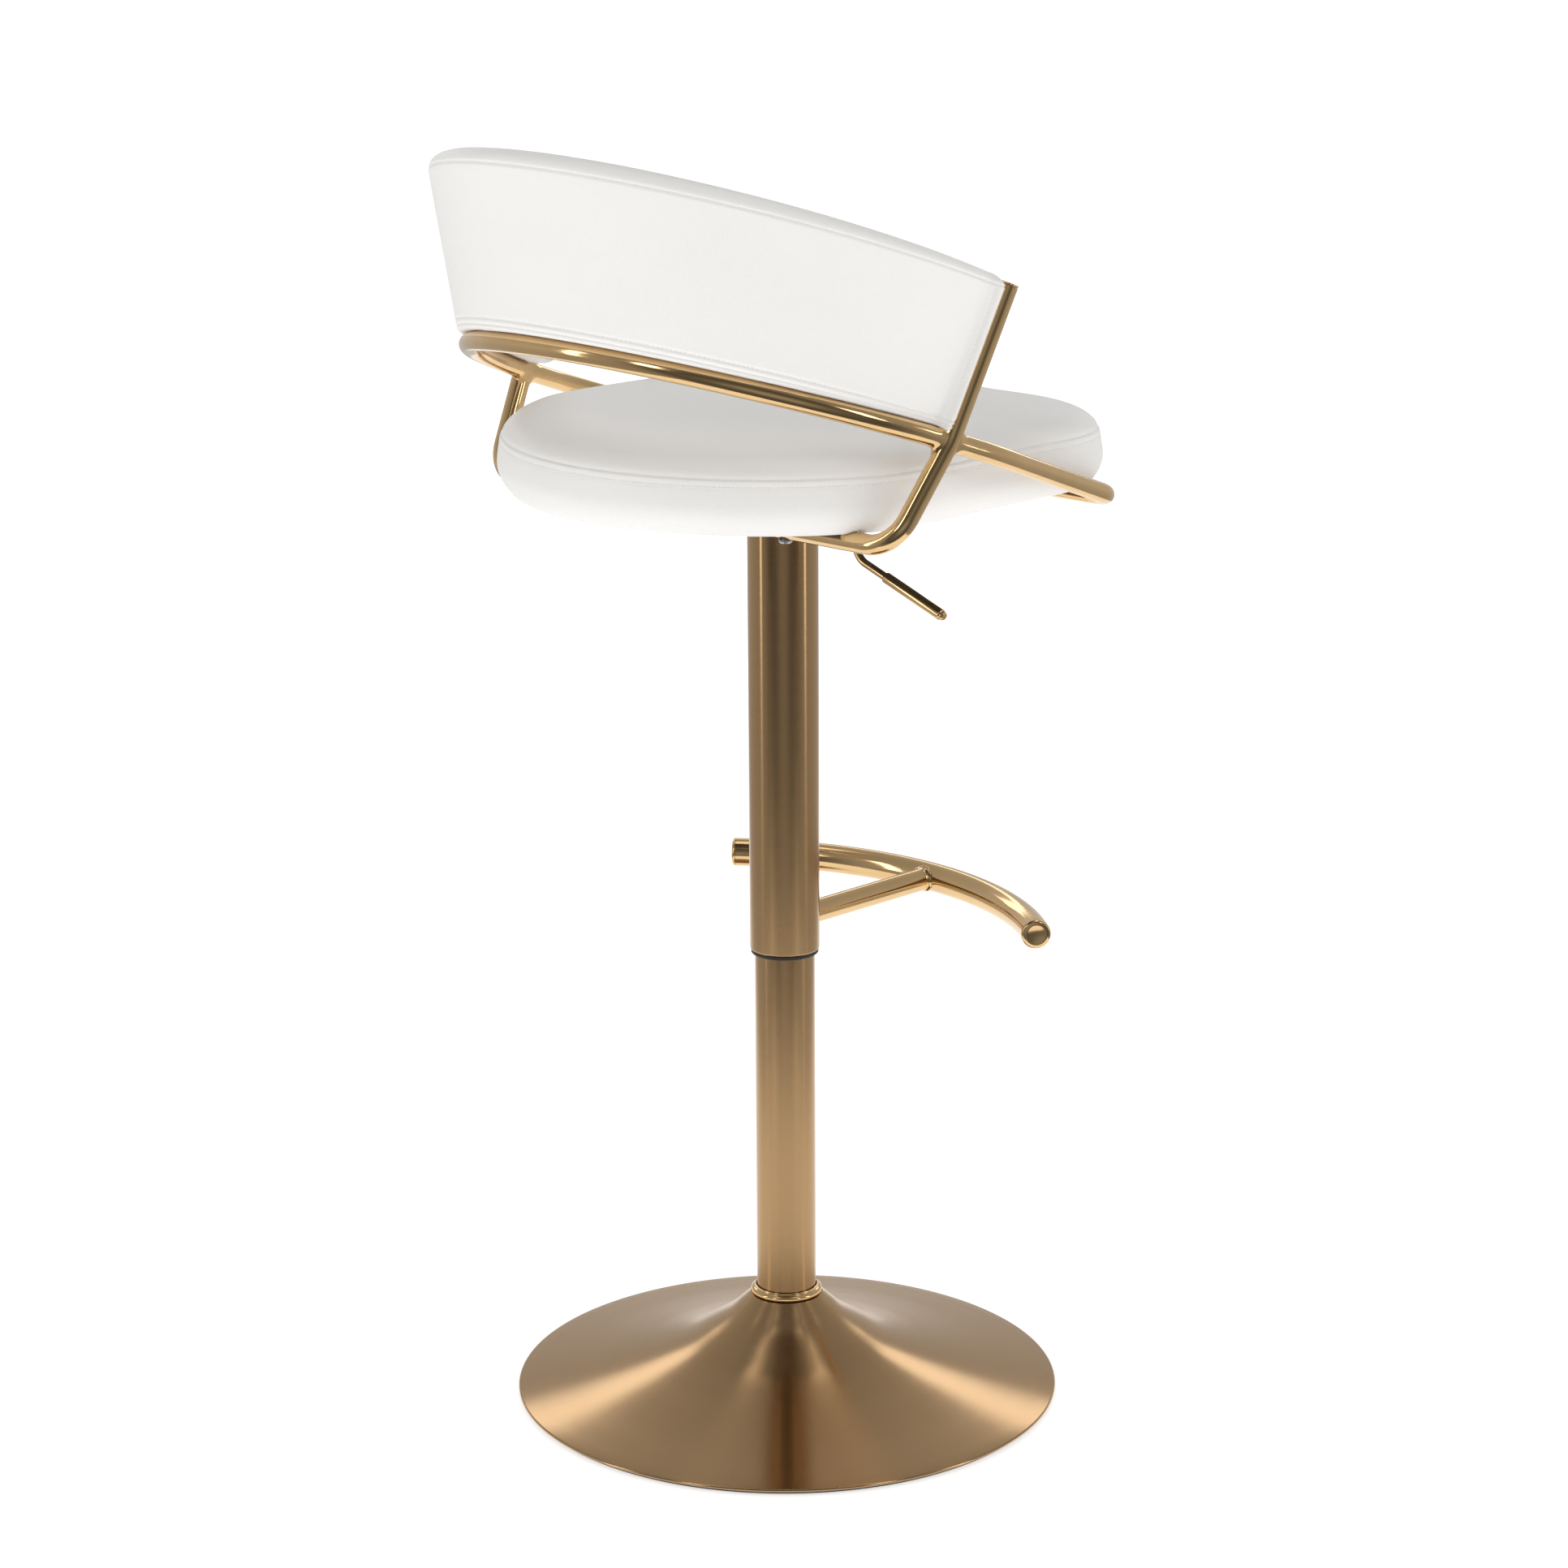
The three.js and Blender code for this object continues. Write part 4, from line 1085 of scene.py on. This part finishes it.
def lamp(name, azimuth, elevation, distance, width, height, power, reflected):
    """A soft panel that looks at the stool's middle; azimuth is measured from +X towards +Y."""
    middle = Vector((0, 0, 0.6))
    a, e = math.radians(azimuth), math.radians(elevation)
    place = middle + distance * Vector((math.cos(a) * math.cos(e), math.sin(a) * math.cos(e), math.sin(e)))
    data = bpy.data.lights.new(name, "AREA")
    data.shape = "RECTANGLE"
    data.size, data.size_y = width, height
    data.energy = power
    made = bpy.data.objects.new(name, data)
    made.location = place
    made.rotation_euler = (middle - place).to_track_quat("-Z", "Y").to_euler()
    made.visible_glossy = reflected
    bpy.context.scene.collection.objects.link(made)


class STOOL_OT_studio(PieceOperator, bpy.types.Operator):
    """Sets up the pale floor, the soft lights and the camera"""
    bl_idname = "stool.studio"
    bl_label = "Studio"

    def build(self):
        scene = bpy.context.scene
        data = bpy.data.cameras.new("view")
        data.lens, data.sensor_width, data.clip_end = CAMERA_LENS, 36, 60
        camera = bpy.data.objects.new("view", data)
        turn = Matrix.Rotation(CAMERA_TURN[2], 4, "Z") @ Matrix.Rotation(CAMERA_TURN[0], 4, "X")
        camera.matrix_world = Matrix.Translation(CAMERA_PLACE) @ turn @ Matrix.Rotation(CAMERA_ROLL, 4, "Z")
        scene.collection.objects.link(camera)
        scene.camera = camera
        scene.view_settings.view_transform = "Standard"

        ahead = Vector((-math.sqrt(0.5), math.sqrt(0.5), 0))
        beside = Vector((math.sqrt(0.5), math.sqrt(0.5), 0))
        for name, near, far, reach, drop, glow, reflected in FLOORS:
            mesh = bpy.data.meshes.new(name)
            corners = [ahead * along + beside * across for along, across in
                       ((near, -reach), (near, reach), (-far, reach), (-far, -reach))]
            mesh.from_pydata(corners, [], [(0, 1, 2, 3)])
            floor = bpy.data.objects.new(name, mesh)
            floor.location.z = -drop
            scene.collection.objects.link(floor)
            paint = Finish(name + "_white", (0.9, 0.9, 0.9), Roughness=0.9, Specular_IOR_Level=0.1)
            paint.shader.inputs["Emission Color"].default_value = (1, 1, 1, 1)
            paint.shader.inputs["Emission Strength"].default_value = glow
            mesh.materials.append(paint.material)
            floor.visible_glossy = reflected
        self.surroundings(scene)
        for settings in LAMPS:
            lamp(*settings)

    @staticmethod
    def surroundings(scene):
        """A soft grey room, brightest opposite the camera and level with the stool."""
        world = bpy.data.worlds.new("studio")
        world.use_nodes = True
        scene.world = world
        room = NodeSheet(world.node_tree, "Background")
        way = room.node("ShaderNodeTexCoord", output="Generated")
        towards = room.node("ShaderNodeVectorMath", {"operation": "DOT_PRODUCT"},
                            {0: way, 1: (-math.sqrt(0.5), math.sqrt(0.5), 0)}, output="Value")
        round_about = room.node("ShaderNodeValToRGB", {"stops": ROOM_ROUND}, {"Fac": towards * 0.5 + 0.5})
        up = room.node("ShaderNodeValToRGB", {"stops": ROOM_UP}, {"Fac": way.part("Z") * 0.5 + 0.5})
        both = room.node("ShaderNodeVectorMath", {"operation": "MULTIPLY"}, {0: round_about, 1: up})
        room.feed("Color", both)


PIECES = (STOOL_OT_pedestal, STOOL_OT_column, STOOL_OT_footrest, STOOL_OT_frame_tubes, STOOL_OT_lever,
          STOOL_OT_seat, STOOL_OT_backrest, STOOL_OT_hardware, STOOL_OT_studio)


class STOOL_PT_pieces(bpy.types.Panel):
    """Lists the stool's pieces and settings"""
    bl_idname = "STOOL_PT_pieces"
    bl_label = "Bar Stool"
    bl_space_type = "VIEW_3D"
    bl_region_type = "UI"
    bl_category = "Stool"

    def draw(self, context):
        column = self.layout.column(align=True)
        for operator in PIECES:
            column.operator(operator.bl_idname)
        for group in (context.scene.stool_sizes, context.scene.stool_colours):
            settings = self.layout.column(align=True)
            for name in group.__annotations__:
                settings.prop(group, name)


CLASSES = (StoolSizes, StoolColours, *PIECES, STOOL_PT_pieces)


def register():
    for each in CLASSES:
        bpy.utils.register_class(each)
    bpy.types.Scene.stool_sizes = PointerProperty(type=StoolSizes)
    bpy.types.Scene.stool_colours = PointerProperty(type=StoolColours)


def unregister():
    del bpy.types.Scene.stool_colours
    del bpy.types.Scene.stool_sizes
    for each in reversed(CLASSES):
        bpy.utils.unregister_class(each)


def main():
    register()
    for operator in PIECES:
        getattr(bpy.ops.stool, operator.bl_idname.split(".")[1])()


if __name__ == "__main__":
    main()
